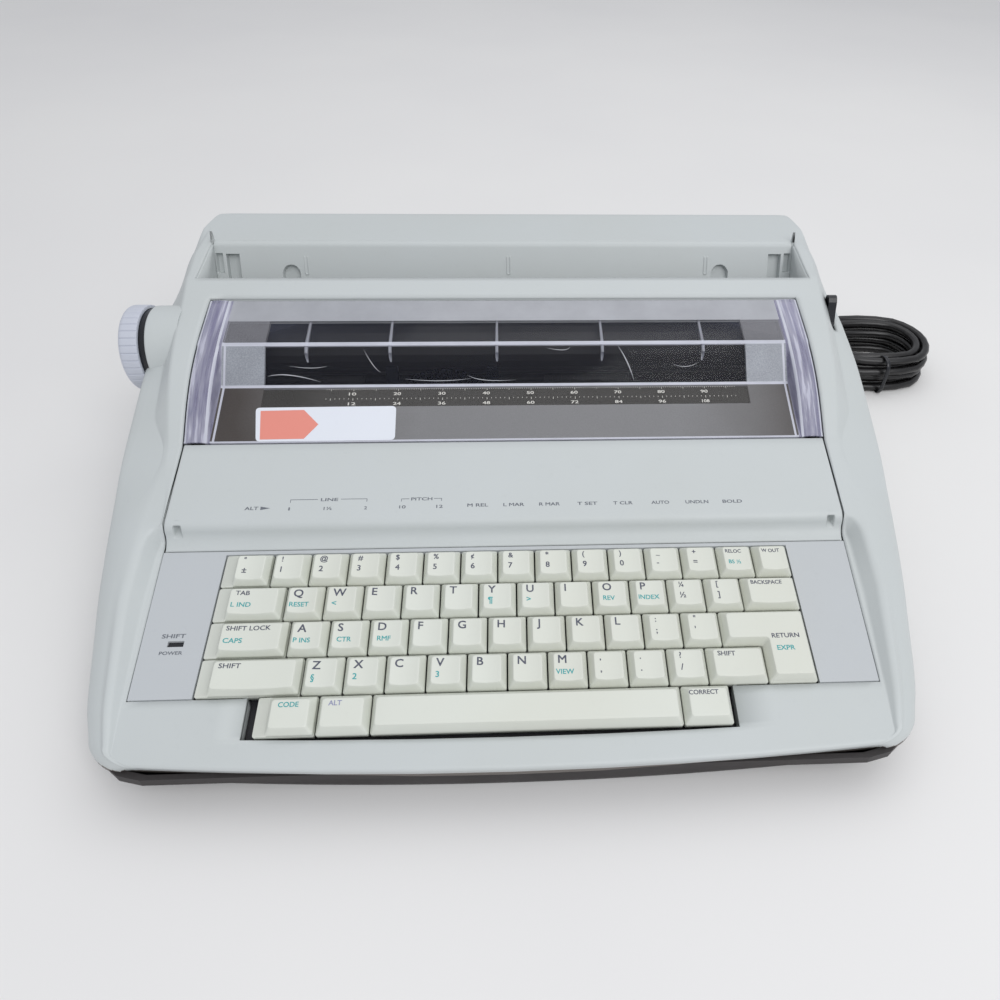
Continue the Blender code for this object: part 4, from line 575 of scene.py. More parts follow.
def build_caps():
    """Every keycap, on its own body; the number row and symbol caps are one piece on theirs."""

    def add_cap(key, points, faces, column, row):
        """One cap in place of its key's CAD node."""
        places = world(on_keyboard(points, column, row))
        mesh_piece(key.replace("key", "cap"), places, faces, KEY, key + "_body", (key,))

    plain = cap_parts(1, 0, DISH)
    for letters, left, row in LETTER_ROWS:
        for i, letter in enumerate(letters):
            add_cap("key_" + letter.lower(), *cap_mesh(plain), left + i + 0.5, row + 0.5)
    for name, left, width, row, ledge, dished in SPECIALS:
        grid = cap_parts(width, LEDGE if ledge else 0, DISH if dished else 0)
        add_cap(name, *cap_mesh(grid), left + width / 2, row + 0.5)
    stem_at = (RETURN_STEM[0] * PITCH, RETURN_STEM[1] * PITCH)
    add_cap("key_return", *cap_mesh(return_cap(), stem_at), *RETURN_AT)
    parts = []
    for column, row in SYMBOLS:
        points, faces = cap_mesh(cap_parts(1, LEDGE, DISH) if column < 1 else plain)
        parts.append((on_keyboard(points, column, row + 0.5), faces))
    points, faces = joined(parts)
    mesh_piece("caps_numbers_and_symbols", world(points), faces, KEY, "symbol_bank", ("symbol_keys",))


build_caps()

# Legends


def ink(name, colour):
    """Printed ink: nearly matt, worn a little thin in places."""
    g = Graph(name)
    worn = g.ramp(g.noise(900.0, 3.0), 0.35, 0.75)
    thin = tuple(0.7 * c + 0.21 for c in colour)
    g.set("Base Color", g.mix(g.math("MULTIPLY", worn, 0.35), colour, thin))
    g.set("Roughness", 0.5)
    return g.material


INK = ink("ink_blue_grey", srgb(66, 70, 88))
TEAL = ink("ink_teal", srgb(40, 158, 160))
LILAC = ink("ink_lilac", srgb(138, 142, 176))


CAP_SHARE, LONG_EDGE = 0.72, 0.9
BOLD, LAYER = 0.045, 0.006
BOLD_SHIFTS = ((0, 0), (1, 0), (0, 0.8), (1, 0.8))
INK_HEIGHT = 0.05


def text_mesh(text, size, squeeze):
    """A word in the built-in font as points and faces in millimetres, its left foot at zero.

    Four copies, each shifted by a share of the size and set a little higher, make the strokes bold.
    """
    curve = bpy.data.curves.new("word", "FONT")
    curve.body = text
    curve.size = size / CAP_SHARE
    curve.resolution_u = 3
    item = bpy.data.objects.new("word", curve)
    SCENE.collection.objects.link(item)
    bpy.context.view_layer.update()
    evaluated = item.evaluated_get(bpy.context.evaluated_depsgraph_get())
    mesh = evaluated.to_mesh()
    bm = bmesh.new()
    bm.from_mesh(mesh)
    evaluated.to_mesh_clear()
    bpy.data.objects.remove(item)
    bpy.data.curves.remove(curve)
    long_edges = [e for e in bm.edges if e.calc_length() > LONG_EDGE]
    if long_edges:
        bmesh.ops.subdivide_edges(bm, edges=long_edges, cuts=2)
    bmesh.ops.triangulate(bm, faces=bm.faces)
    bm.verts.ensure_lookup_table()
    points = np.array([v.co[:] for v in bm.verts])
    faces = [tuple(v.index for v in f.verts) for f in bm.faces]
    bm.free()
    if len(points):
        points[:, 0] = (points[:, 0] - points[:, 0].min()) * squeeze
        bold = BOLD * size
        points, faces = joined([(points + (dx * bold, dy * bold, LAYER * i), faces)
                                for i, (dx, dy) in enumerate(BOLD_SHIFTS)])
    return points, faces


WORDS = {}


def word(text, size, squeeze):
    """Read a word's mesh once and reuse it."""
    key = (text, size, squeeze)
    if key not in WORDS:
        WORDS[key] = text_mesh(text, size, squeeze)
    return WORDS[key]


def legends(name, body, entries, half_top, dish, column, row):
    """Words on one cap: each entry is text, left, foot, size, ink and width share."""
    groups = {}
    for text, x, y, size, colour, squeeze in entries:
        points, faces = word(text, size, squeeze)
        if not len(points):
            continue
        placed = points + (x, y, 0)
        placed[:, 2] = cap_height(placed[:, 0], half_top, dish) + INK_HEIGHT + points[:, 2]
        groups.setdefault(colour.name, (colour, []))[1].append((placed, faces))
    for colour, parts in groups.values():
        points, faces = joined(parts)
        places = world(on_keyboard(points, column, row))
        mesh_piece(f"{name}_{colour.name}", places, faces, colour, body, smooth=False)


SECOND = {"Q": "RESET", "W": "<", "Y": "¶", "U": ">", "O": "REV", "P": "INDEX", "A": "P INS", "S": "CTR",
          "D": "RMF", "Z": "§", "X": "2", "V": "3", "M": "VIEW"}
NUMBER_ROW = (("°", "±"), ("!", "1"), ("@", "2"), ("#", "3"), ("$", "4"), ("%", "5"), ("¢", "6"), ("&", "7"),
              ("*", "8"), ("(", "9"), (")", "0"), ("_", "-"), ("+", "="), ("RELOC", "BS ½"), ("W OUT", ""))
OTHER_SYMBOLS = (("¼", "½"), ("[", "]"), (":", ";"), ('"', "'"), (",", ","), (".", "."), ("?", "/"))


LETTER_AT, LETTER_SIZE = (-4.6, 1.5), 4.1
SECOND_FOOT, SECOND_SIZE, SIGN_SIZE = -3.9, 2.5, 3.0
CAP_WORDS = {"key_tab": (("TAB", -9.0, 3.0, 2.4, INK, 1.1), ("L IND", -10.2, -3.4, 2.5, TEAL, 1.1)),
             "key_backspace": (("BACKSPACE", -10.0, 3.3, 2.2, INK, 0.98),),
             "key_shift_lock": (("SHIFT LOCK", -12.0, 3.0, 2.4, INK, 1.14),
                                ("CAPS", -12.4, -3.4, 2.5, TEAL, 1.1)),
             "key_shift_left": (("SHIFT", -16.4, 3.0, 2.4, INK, 1.2),),
             "key_shift_right": (("SHIFT", -9.4, 3.2, 2.4, INK, 1.05),),
             "key_code": (("CODE", -5.4, 2.6, 2.4, TEAL, 1.0),),
             "key_alt": (("ALT", -6.4, 2.8, 2.4, LILAC, 1.0),),
             "key_correct": (("CORRECT", -8.8, 3.3, 2.2, INK, 1.0),)}
RETURN_WORDS = (("RETURN", 4.2, 2.0, 2.4, INK, 1.1), ("EXPR", 5.6, -4.4, 2.5, TEAL, 1.1))


def build_legends():
    """Printed words and signs of all the caps."""
    half = PITCH / 2 - HALF_GAP - SIDE
    for letters, left, row in LETTER_ROWS:
        for i, letter in enumerate(letters):
            entries = [(letter, *LETTER_AT, LETTER_SIZE, INK, 1.04)]
            if letter in SECOND:
                second = SECOND[letter]
                size = SECOND_SIZE if len(second) > 1 else SIGN_SIZE
                entries.append((second, -5.9 if len(second) > 3 else -4.6, SECOND_FOOT, size, TEAL, 1.02))
            key = letter.lower()
            legends("legend_" + key, f"key_{key}_body", entries, half, DISH, left + i + 0.5, row + 0.5)
    for name, left, width, row, ledge, dished in SPECIALS:
        if name in CAP_WORDS:
            legends(name.replace("key", "legend"), name + "_body", CAP_WORDS[name],
                    width * PITCH / 2 - HALF_GAP - SIDE, DISH if dished else 0, left + width / 2, row + 0.5)
    legends("legend_return", "key_return_body", RETURN_WORDS, RETURN_HALF_TOP, 0.0, *RETURN_AT)
    for (column, row), (upper, lower) in zip(SYMBOLS, NUMBER_ROW + OTHER_SYMBOLS):
        if len(upper) > 1:
            entries = [(upper, -5.6, 3.0, 2.1, INK, 0.95), (lower, -4.6, -3.4, 2.3, TEAL, 1.0)]
        else:
            entries = [(upper, -4.0, 2.6, 3.0, INK, 0.95), (lower, -4.0, -3.4, 3.2, INK, 1.0)]
        entries = entries if lower else entries[:1]
        legends(f"legend_{int(column * 4)}_{row}", "symbol_bank", entries, half, DISH, column, row + 0.5)


build_legends()

# Upper case

DEPTH, HALF_WIDTH, HEIGHT, SKIRT_Z, WALL = 374.0, 215.0, 121.0, 19.0, 2.5
WIDTHS = np.array([(0.0, 0.875), (0.06, 0.89), (0.10, 0.907), (0.17, 0.93), (0.24, 0.952), (0.34, 0.974),
                   (0.43, 0.988), (0.53, 1.0), (0.70, 1.0), (0.77, 0.983), (0.84, 0.962), (0.90, 0.955),
                   (0.94, 0.945), (1.0, 0.925)]) * (DEPTH, HALF_WIDTH)
EDGES = np.array([(0.0, 0.207), (0.374, 0.504), (0.436, 0.566), (0.513, 0.624), (0.556, 0.669),
                  (0.602, 0.715), (0.642, 0.744), (0.70, 0.777), (0.75, 0.806), (0.80, 0.83),
                  (0.87, 0.854), (1.0, 0.89)]) * (DEPTH, HEIGHT)
CHEEKS = np.array([(0.0, 0.0), (0.06, 0.10), (0.13, 0.22), (0.23, 0.38), (0.34, 0.53), (0.46, 0.66),
                   (0.62, 0.79), (0.71, 0.85), (1.0, 1.0)])
LIP_Y, CHEEK_Y, DECK_Y, STRIP_Y, ENTRY_Y = 122.0, 168.0, 262.0, 278.0, 321.8
DECK_Z, STRIP_Z = 113.0, 117.6
OPEN_HALF, ENTRY_HALF, ENTRY_FLOOR = 178.8, 191.0, (297.0, 76.0)
FRONT_RADIUS, REAR_RADIUS, RIM_RADIUS, NOSE = 15.0, 16.0, 13.0, 1.5
UNDERCUT, BOW, BOW_HALF, BOW_DEPTH = 2.6, 6.0, 160.0, 34.0
# SHADE_Z: faces of the case below this height take the painted shade
SHADE_Z = 24.9
BAY_FRONT, BAY_REAR, BAY_LEFT, BAY_RIGHT = 13.6, 34.4, -121.3, 104.3
SLOT_FRONT, SLOT_REAR, SLOT_IN, SLOT_OUT = 250.3, 271.9, 200.7, 206.9
BAY_COLUMNS, ARC = (4, 10), 5
SPREAD = np.array([-1, -0.95, -0.86, -0.76, -121.5 / OPEN_HALF, -0.5, -0.25, 0, 0.25, 0.45,
                   104.5 / OPEN_HALF, 0.7, 0.8, 0.9, 0.96, 1])
FRONT_SHARES, REAR_SHARES = (1.0, 0.75, 0.44, 0.40, 0.08), (0.03, 0.12, 0.3, 0.5, 0.75, 1.0)


def lid_z(y):
    """Height of the front lid's plane."""
    return PANEL_Z + LID_RISE * y


def smooth_read(table, places):
    """Read a table through its rows with a curve whose slope at each row is the mean of its neighbours'."""
    x, v = table[:, 0], table[:, 1]
    step = np.diff(x)
    secant = np.diff(v) / step
    slope = np.concatenate([[secant[0]], (secant[:-1] + secant[1:]) / 2, [secant[-1]]])
    flat = np.concatenate([[False], secant[:-1] * secant[1:] <= 0, [False]])
    slope = np.where(flat, 0.0, slope)
    i = np.clip(np.searchsorted(x, places, side="right") - 1, 0, len(step) - 1)
    t = np.clip((places - x[i]) / step[i], 0, 1)
    h = step[i]
    return ((2 * t ** 3 - 3 * t ** 2 + 1) * v[i] + (t ** 3 - 2 * t ** 2 + t) * h * slope[i]
            + (3 * t ** 2 - 2 * t ** 3) * v[i + 1] + (t ** 3 - t ** 2) * h * slope[i + 1])


def quarter(radius, distance):
    """Drop of a quarter-round edge at a distance in from its face."""
    inside = np.clip(radius - distance, 0, radius)
    return radius - np.sqrt(np.maximum(0, radius ** 2 - inside ** 2))


def curve3(a, corner, b, count):
    """A count of points on the quadratic curve from a to b."""
    a, corner, b = (np.asarray(v, float) for v in (a, corner, b))
    return bend(a, corner, b, np.linspace(0, 1, count)[:, None])


def ease(t):
    """Share from 0 to 1 that leaves and arrives level: three squares less two cubes."""
    t = np.clip(t, 0, 1)
    return t * t * (3 - 2 * t)


def half_width(y):
    """Half width of the case, with its corners rounded in plan."""
    return smooth_read(WIDTHS, y) - quarter(FRONT_RADIUS, y) - quarter(REAR_RADIUS, DEPTH - y)


def cheek_z(y):
    """Height of the cheeks beside the cover: the lid's plane, then the table's rise to the deck."""
    low = lid_z(np.minimum(y, CHEEK_Y))
    share = np.clip((y - CHEEK_Y) / (DECK_Y - CHEEK_Y), 0, 1)
    return low + (DECK_Z - lid_z(CHEEK_Y)) * smooth_read(CHEEKS, share)


def top_z(y):
    """Height of the case's top behind the lid: cheeks, deck strip, then the rim with its round rear edge."""
    deck = DECK_Z + (STRIP_Z - DECK_Z) * np.clip((y - DECK_Y) / (STRIP_Y - DECK_Y), 0, 1)
    rim = deck + (HEIGHT - STRIP_Z) * ease((y - STRIP_Y) / (ENTRY_Y - STRIP_Y))
    return np.where(y < DECK_Y, cheek_z(y), rim) - quarter(RIM_RADIUS, DEPTH - y)


def case_net(y):
    """Corner points of the half section at each depth: depths by nine corners by (x, z), and their radii.

    From the opening's edge outwards: inner limit, foot of the crest, crest's inner and outer edge,
    slope, toe, flank, the long edge, and the bottom. One set of corners holds beside the keyboard,
    another beside the cover and the deck, and an eased share leads from the first to the second.
    """
    zero = np.zeros_like(y)
    width = half_width(y)
    nose = quarter(NOSE, y)
    edge = np.minimum(smooth_read(EDGES, y), HEIGHT - RIM_RADIUS) - nose * 0.5
    panel = PANEL_Z + PANEL_RISE * y - nose
    lid = lid_z(y) - nose
    rise = np.clip((y - 8.0) / 74.0, 0, 1)
    crest = np.minimum(177.5 + 10.0 * rise, width - 7.5)
    toe = np.minimum(175.5 + 3.2 * np.clip((y - 35.0) / 77.0, 0, 1), crest - 1.2)
    low = panel + (lid - panel) * ease((y - LIP_Y + 5.0) / 5.0)
    gap = width - crest
    turn = np.sqrt(1 - np.clip((y - LIP_Y + 14.0) / 14.0, 0, 1) ** 2)
    inner = toe + 1.0 + (crest - toe - 1.0) * turn
    ridge = 1.5 * ease(y / 7.0) * (1 - ease((y - 45.0) / 60.0))
    front = np.stack([stack(toe, low),
                      stack(toe + (inner - toe) * 0.30, low + (lid - low) * 0.04),
                      stack(toe + (inner - toe) * 0.86, lid - 0.5 - (lid - low) * 0.06 + ridge),
                      stack(crest + 2.2, lid - 0.2 + ridge),
                      *(stack(crest + gap * out, lid + (edge - lid) * down)
                        for out, down in ((0.30, 0.14), (0.5, 0.31), (0.78, 0.66))),
                      stack(width, edge - 1.0),
                      stack(width, SKIRT_Z)], 1)
    top = top_z(y)
    flank = np.minimum(lid_z(y) - 1.2, top - 0.2)
    outer = 187.5 + 0.085 * (y - CHEEK_Y)
    back = np.clip((y - DECK_Y) / (DEPTH - DECK_Y), 0, 1)
    toe = outer + 8.0 * ease((y - CHEEK_Y + 2.0) / 26.0) * (1 - 0.95 * back) + 1.2
    squeeze = np.minimum(1.0, (width - 2.4) / toe)
    outer = outer * squeeze
    toe = toe * squeeze
    inner = np.minimum(np.where(y < STRIP_Y - 4.0, OPEN_HALF, ENTRY_HALF), outer - 3.4)
    slot_a = np.clip((SLOT_IN - outer) / (toe - outer), 0.2, 0.8)
    slot_b = np.clip((SLOT_OUT - toe) / (width - toe), 0.15, 0.8)
    edge = np.minimum(edge, flank)
    rear = np.stack([stack(inner, top),
                     stack(inner + (outer - inner) * 0.35, top),
                     stack(outer - 1.6, top),
                     stack(outer, top - np.minimum(1.0, (top - flank) * 0.5)),
                     stack(outer + (toe - outer) * slot_a, top + (flank - top) * slot_a),
                     stack(toe, flank),
                     stack(toe + (width - toe) * slot_b, flank + (edge - flank) * slot_b),
                     stack(width, edge - 1.0),
                     stack(width, SKIRT_Z)], 1)
    share = ease((y - LIP_Y - 1.0) / (CHEEK_Y - LIP_Y - 6.0))[:, None, None]
    near = ease((y - LIP_Y) / 40.0)
    radii = stack(zero, 3.0, 1.6, 2.2 - 0.6 * near, zero, 5.0 - near, zero, 6.0, zero)
    return front * (1 - share) + rear * share, radii


def round_sections(net, radii):
    """Every corner of each section becomes an arc of a few points on a quadratic curve.

    The arc starts and ends at the radius from its corner, or at 45% of the shorter side.
    """
    before = np.linalg.norm(net[:, 1:-1] - net[:, :-2], axis=2)
    after = np.linalg.norm(net[:, 2:] - net[:, 1:-1], axis=2)
    reach = np.minimum(radii[:, 1:-1], 0.45 * np.minimum(before, after))
    into = (net[:, :-2] - net[:, 1:-1]) / np.maximum(before, 1e-6)[..., None]
    out = (net[:, 2:] - net[:, 1:-1]) / np.maximum(after, 1e-6)[..., None]
    columns = [net[:, 0]]
    t = np.linspace(0, 1, ARC)
    for k in range(net.shape[1] - 2):
        corner = net[:, k + 1]
        if radii[:, k + 1].max() == 0:
            columns.append(corner)
            continue
        a = corner + into[:, k] * reach[:, k, None]
        b = corner + out[:, k] * reach[:, k, None]
        columns += [bend(a, corner, b, share) for share in t]
    columns.append(net[:, -1])
    return np.stack(columns, 1)


def stations():
    """Depths of the case's grid: every 3 mm, closer at the ends, with the openings' edges among them."""
    fixed = [0, BAY_FRONT, BAY_REAR, 112.3, LIP_Y, CHEEK_Y, SLOT_FRONT, DECK_Y, SLOT_REAR, STRIP_Y, ENTRY_Y,
             361.0, DEPTH]
    fine = [0.15, 0.45, 0.9, 1.5, 2.4, 4, 6, 8.5, 11, 16, 19, 22, 26, 30, 114, 116, 118, 120, 124, 127]
    tail = DEPTH - np.array([0.15, 0.5, 1.1, 2.0, 3.2, 5.0, 7.0, 9.5, 11.5, 15, 18, 22])
    even = [v for v in np.arange(38.0, 356.0, 3.0)
            if min(abs(v - f) for f in fixed) > 1.1 and not 110 < v < 128]
    return np.unique(np.round(np.concatenate([fixed, fine, even, tail]), 3))


def bow(x, y):
    """How far the front edge falls back towards the sides: a parabola that fades out behind the edge."""
    return BOW * (x / BOW_HALF) ** 2 * (1 - ease(y / BOW_DEPTH))


def build_case():
    """Outer skin of the upper case on one grid of depths by section points, with its openings left out.

    Each row is the whole section from the left bottom edge over the top to the right one. The rows
    before the first and after the last carry the front face and the rear wall down to the bottom.
    """
    y = stations()
    side = round_sections(*case_net(y))
    spread = SPREAD[None, :] * side[:, :1, 0]
    bay_left, bay_right = BAY_COLUMNS
    spread[y < 36, bay_left], spread[y < 36, bay_right] = BAY_LEFT, BAY_RIGHT
    middle = stack(spread, side[:, :1, 1])
    left = side[:, :0:-1] * (-1, 1)
    row = np.concatenate([left, middle, side[:, 1:]], 1)
    points = stack(row[..., 0], y[:, None], row[..., 1])
    ahead = np.clip((FRONT_RADIUS - y) / FRONT_RADIUS, 0, 1)
    for column, inwards in ((0, 1), (-1, -1)):
        points[:, column, 0] += inwards * UNDERCUT * np.sqrt(1 - ahead ** 2)
        points[:, column, 1] += UNDERCUT * ahead
    ends = []
    for end, shares in ((0, FRONT_SHARES), (-1, REAR_SHARES)):
        for share in shares:
            ring = points[end].copy()
            ring[:, 2] += (SKIRT_Z - ring[:, 2]) * share
            if end == 0:
                ring[:, 1] += (UNDERCUT - ring[:, 1]) * share
            ends.append(ring)
    before, after = len(FRONT_SHARES), len(REAR_SHARES)
    points = np.concatenate([np.stack(ends[:before]), points, np.stack(ends[before:])])
    rows, columns, _ = points.shape
    faces = grid_faces(rows, columns)
    grid_y = np.concatenate([np.full(before, -1.0), y, np.full(after, DEPTH + 1)])
    i, j = faces[:, 0] // columns, faces[:, 0] % columns
    mid_y = (grid_y[i] + grid_y[np.minimum(i + 1, rows - 1)]) / 2

    def window(low, high, front, rear):
        """The faces between two columns and two depths."""
        return (j >= low) & (j < high) & (mid_y > front) & (mid_y < rear)

    first = left.shape[1]
    last = first + len(SPREAD) - 1
    slope = last + 3 * ARC + 1
    cut = window(first, last, BAY_REAR + 0.1, DECK_Y) | window(first, last, STRIP_Y, ENTRY_Y)
    cut |= window(first + bay_left, first + bay_right, BAY_FRONT, BAY_REAR)
    cut |= window(slope, slope + ARC + 1, SLOT_FRONT, SLOT_REAR)
    points[..., 1] += bow(points[..., 0], points[..., 1])
    flat = points.reshape(-1, 3)
    piece = mesh_piece("case_shell", world(flat), faces[~cut], CASE, "case", ("upper_case",))
    # Faces below SHADE_Z, the lower case's edge under the front lip, take the darker grey: painted shade
    piece.data.materials.append(SHADE)
    heights = flat[faces[~cut]][..., 2].mean(1)
    piece.data.polygons.foreach_set("material_index", (heights < SHADE_Z).astype(np.int32))
    tidy_mesh(piece, 0.01)
    thick = add_wall(piece, WALL)
    thick.use_even_offset = False
    thick.thickness_clamp = 0.6


build_case()

CORNER = np.array([319.2, HEIGHT - 0.05])
ROUND, STEP_WIDTH = 2.6, 0.4
DENSE = ((0, 3.2, 0.3), (-132, 3.2, 0.3), (132, 3.2, 0.3), (142, 6.6, 0.35), (-142, 6.6, 0.35))
CHANNEL, CHANNEL_TOP = (174.6, 182.9), 114.5
POCKET_X, POCKET_Z, POCKET_FOOT, POCKET_RADIUS = 142.0, 103.0, 92.0, 5.5
MARK_XS, MARK_FOOT, MARK_TOP, MARK_RADIUS, MARK_HALF = (0.0, -132.0, 132.0), 104.2, 113.2, 1.0, 0.25


def recess_wall():
    """Sloping rear wall of the paper entry as a height field over (x, share of height).

    The wall runs up a straight line from (297, 76) and turns level at the rim on a quadratic curve.
    Along its normal it sinks 5 mm in a channel near each end, 3.4 mm in a slot of each end block and
    4 mm in a round pocket, and rises 0.5 mm along three thin hairpin marks. Each step is an eased
    ramp 0.4 mm wide.
    """
    ends = np.arange(172.5, ENTRY_HALF, 0.32)
    even = np.linspace(-ENTRY_HALF - 0.8, ENTRY_HALF + 0.8, 120)
    dense = [np.arange(c - w, c + w, d) for c, w, d in DENSE]
    x = np.unique(np.round(np.concatenate([even, *dense, ends, -ends]), 2))
    floor = np.array(ENTRY_FLOOR)
    along = (CORNER - floor) / np.linalg.norm(CORNER - floor)
    start = CORNER - ROUND * along
    X, S = np.meshgrid(x, np.linspace(0, 1, 112))
    Z = floor[1] + (start[1] - floor[1]) * S

    def step(distance):
        """An eased ramp round distance zero."""
        return ease(distance / STEP_WIDTH + 0.5)

    a = np.abs(X)
    channel = step(a - CHANNEL[0]) * step(CHANNEL[1] - a) * step(CHANNEL_TOP - Z)
    slot = step(2.1 - np.abs(a - 187.3)) * step(5.2 - np.abs(Z - 109.6))
    up = Z - POCKET_Z
    pocket = step(POCKET_RADIUS - np.hypot(a - POCKET_X, np.where(up > 0, up, 0.35 * up)))
    pocket = pocket * step(Z - POCKET_FOOT)
    ridge = 0
    for c in MARK_XS:
        arm = step(MARK_HALF - np.abs(np.abs(X - c) - MARK_RADIUS)) * (Z > MARK_FOOT) * step(MARK_TOP - Z)
        turn = step(MARK_HALF - np.abs(np.hypot(X - c, Z - MARK_FOOT) - MARK_RADIUS)) * (Z <= MARK_FOOT)
        ridge = ridge + arm + turn
    field = -5.0 * channel - 3.4 * slot - 4.0 * pocket + 0.5 * np.clip(ridge, 0, 1)
    Y = floor[0] + (start[0] - floor[0]) * S - along[1] * field
    curve = curve3(start, CORNER, CORNER + np.array([ROUND, 0]), 9)[1:, None]
    return np.concatenate([stack(X, Y, Z + along[0] * field), stack(x, curve[..., 0], curve[..., 1])])


def strip(name, path, drop, thick):
    """A wall of the case under a path: it goes down by a drop at each point, with a thickness."""
    points = np.repeat(np.asarray(path, float)[None], 5, 0)
    points[..., 2] -= np.linspace(0, 1, 5)[:, None] * drop
    add_wall(grid_piece(name, points, CASE, "case"), thick, 0)


def build_recess():
    """Walls of the openings: the paper entry, the cover's sides and rear, and the bottom row's bay."""
    sharpen(grid_piece("entry_wall", recess_wall(), CASE, "case"), 50)
    sides = ((-1, "left"), (1, "right"))
    y = np.linspace(STRIP_Y - 0.5, ENTRY_Y + 0.5, 18)
    top = top_z(y) - 1.0
    foot_y, foot_z = ENTRY_FLOOR
    floor = np.where(y < foot_y, 98 - (y - STRIP_Y) * 1.1, foot_z + (y - foot_y) * 2.02)
    for side, end in sides:
        strip("entry_end_" + end, stack(side * (ENTRY_HALF - 0.2), y, top), top - floor, 1.6)
    strip("entry_front", stack(np.linspace(-ENTRY_HALF, ENTRY_HALF, 40), STRIP_Y - 1.2, 116.6), 18.5, 2.2)
    y = np.linspace(LIP_Y + 1, DECK_Y, 50)
    inner = case_net(y)[0][:, 0]
    for side, end in sides:
        path = stack(side * (inner[:, 0] + 1.4), y, inner[:, 1] - 1.0)
        strip("cheek_wall_" + end, path, np.minimum(16.0, path[:, 2] - 40), 2.0)
    strip("deck_wall", stack(np.linspace(-OPEN_HALF, OPEN_HALF, 40), DECK_Y + 1.4, 112.0), 6.0, 2.0)
    corners = np.array([(-122.4, 36), (-122.4, 12.4), (105.4, 12.4), (105.4, 36)])
    share = np.linspace(0, 1, 12)[:, None]
    path = np.concatenate([a + (b - a) * share for a, b in zip(corners, corners[1:])])
    x, y = path.T
    strip("bay_wall", stack(x, y, PANEL_Z + PANEL_RISE * y - 1.2), 7.5, 1.8)


def turned_piece(name, profile, centre, sides, material, body, stands_for=(), rib=None):
    """A profile of (x, radius) carried round the X axis; rib tells by angle and row how far the rim sinks."""
    profile = np.asarray(profile, float)
    angle = np.linspace(0, 2 * math.pi, sides, endpoint=False)
    radius = np.repeat(profile[:, 1:2], sides, 1)
    if rib is not None:
        radius = radius - rib(angle[None, :], np.arange(len(profile))[:, None])
    points = stack(profile[:, :1], centre[0] + radius * np.cos(angle), centre[1] + radius * np.sin(angle))
    rows = len(profile)
    faces = [tuple(f) for f in grid_faces(rows, sides, True)]
    if profile[0, 1] > 0.01:
        faces.append(tuple(range(sides)))
    if profile[-1, 1] > 0.01:
        faces.append(tuple(range(rows * sides - 1, (rows - 1) * sides - 1, -1)))
    sharpen(outward(mesh_piece(name, world(points.reshape(-1, 3)), faces, material, body, stands_for)), 40)


PLATEN_AT = (250.5, 86.0)
KNOB_OUT, KNOB_IN, BOSS_END = -226.5, -215.0, -211.2
KNOB_RADIUS, KNOB_ROUND, BOSS_RADIUS = 25.5, 3.2, 25.0
GROOVES, GROOVE_DEEP, GROOVE_SHARE = 36, 0.5, 0.085


def build_knob():
    """Knob with narrow grooves over its rim, a black ring behind it that paints the shade of the deep gap,
    and the case's boss.
    """
    r = KNOB_RADIUS
    turn = np.linspace(0, math.pi / 2, 7)[::-1]
    rim = stack(KNOB_OUT + KNOB_ROUND - KNOB_ROUND * np.sin(turn), r - KNOB_ROUND + KNOB_ROUND * np.cos(turn))
    face = np.array([(KNOB_OUT + 0.9, 0.5), (KNOB_OUT + 0.9, 8.0), (KNOB_OUT + 0.7, 15.0),
                     (KNOB_OUT + 0.25, 19.0), (KNOB_OUT, 21.0)])
    body = np.array([(KNOB_OUT + 5, r), (KNOB_OUT + 8, r), (KNOB_IN - 0.8, r), (KNOB_IN - 0.25, r - 0.15),
                     (KNOB_IN, r - 0.6), (KNOB_IN, r - 2.0), (KNOB_IN - 1.5, r - 2.4), (KNOB_IN - 1.5, 4.5)])
    first, last = len(face) + 1, len(face) + 10

    def groove(angle, row):
        """Depth of the narrow triangular grooves over the rim's rows."""
        phase = np.abs(((angle * GROOVES / (2 * math.pi)) % 1) - 0.5)
        return GROOVE_DEEP * np.clip(1 - phase / GROOVE_SHARE, 0, 1) * ((row >= first) & (row <= last))

    turned_piece("knob", np.concatenate([face, rim[1:], body]), PLATEN_AT, GROOVES * 16, KNOB,
                 "platen_assembly", ("platen_knob",), groove)
    # A black ring in the gap between knob and boss: painted shade of the deep gap
    ring = [(KNOB_IN - 1.4, 4.4), (KNOB_IN - 1.4, 23.0), (KNOB_IN - 0.2, 23.3), (BOSS_END - 0.5, 23.3),
            (BOSS_END - 0.4, 22.8), (BOSS_END - 0.4, 4.4)]
    turned_piece("knob_gap_shade_ring", ring, PLATEN_AT, 96, BLACK, "platen_assembly")
    r = BOSS_RADIUS
    boss = [(BOSS_END, 5.0), (BOSS_END, r - 1.2), (BOSS_END + 0.2, r - 0.5), (BOSS_END + 0.7, r - 0.1),
            (BOSS_END + 1.4, r), (-205.0, r), (-199.0, r), (-192.5, r), (-192.5, 5.0)]
    turned_piece("knob_boss", boss, PLATEN_AT, 128, CASE, "case")


BAND_LEVELS = ((19.8, 6.0), (19.2, 5.6), (12.0, 5.8), (5.0, 6.2), (2.0, 7.0), (1.2, 9.0))


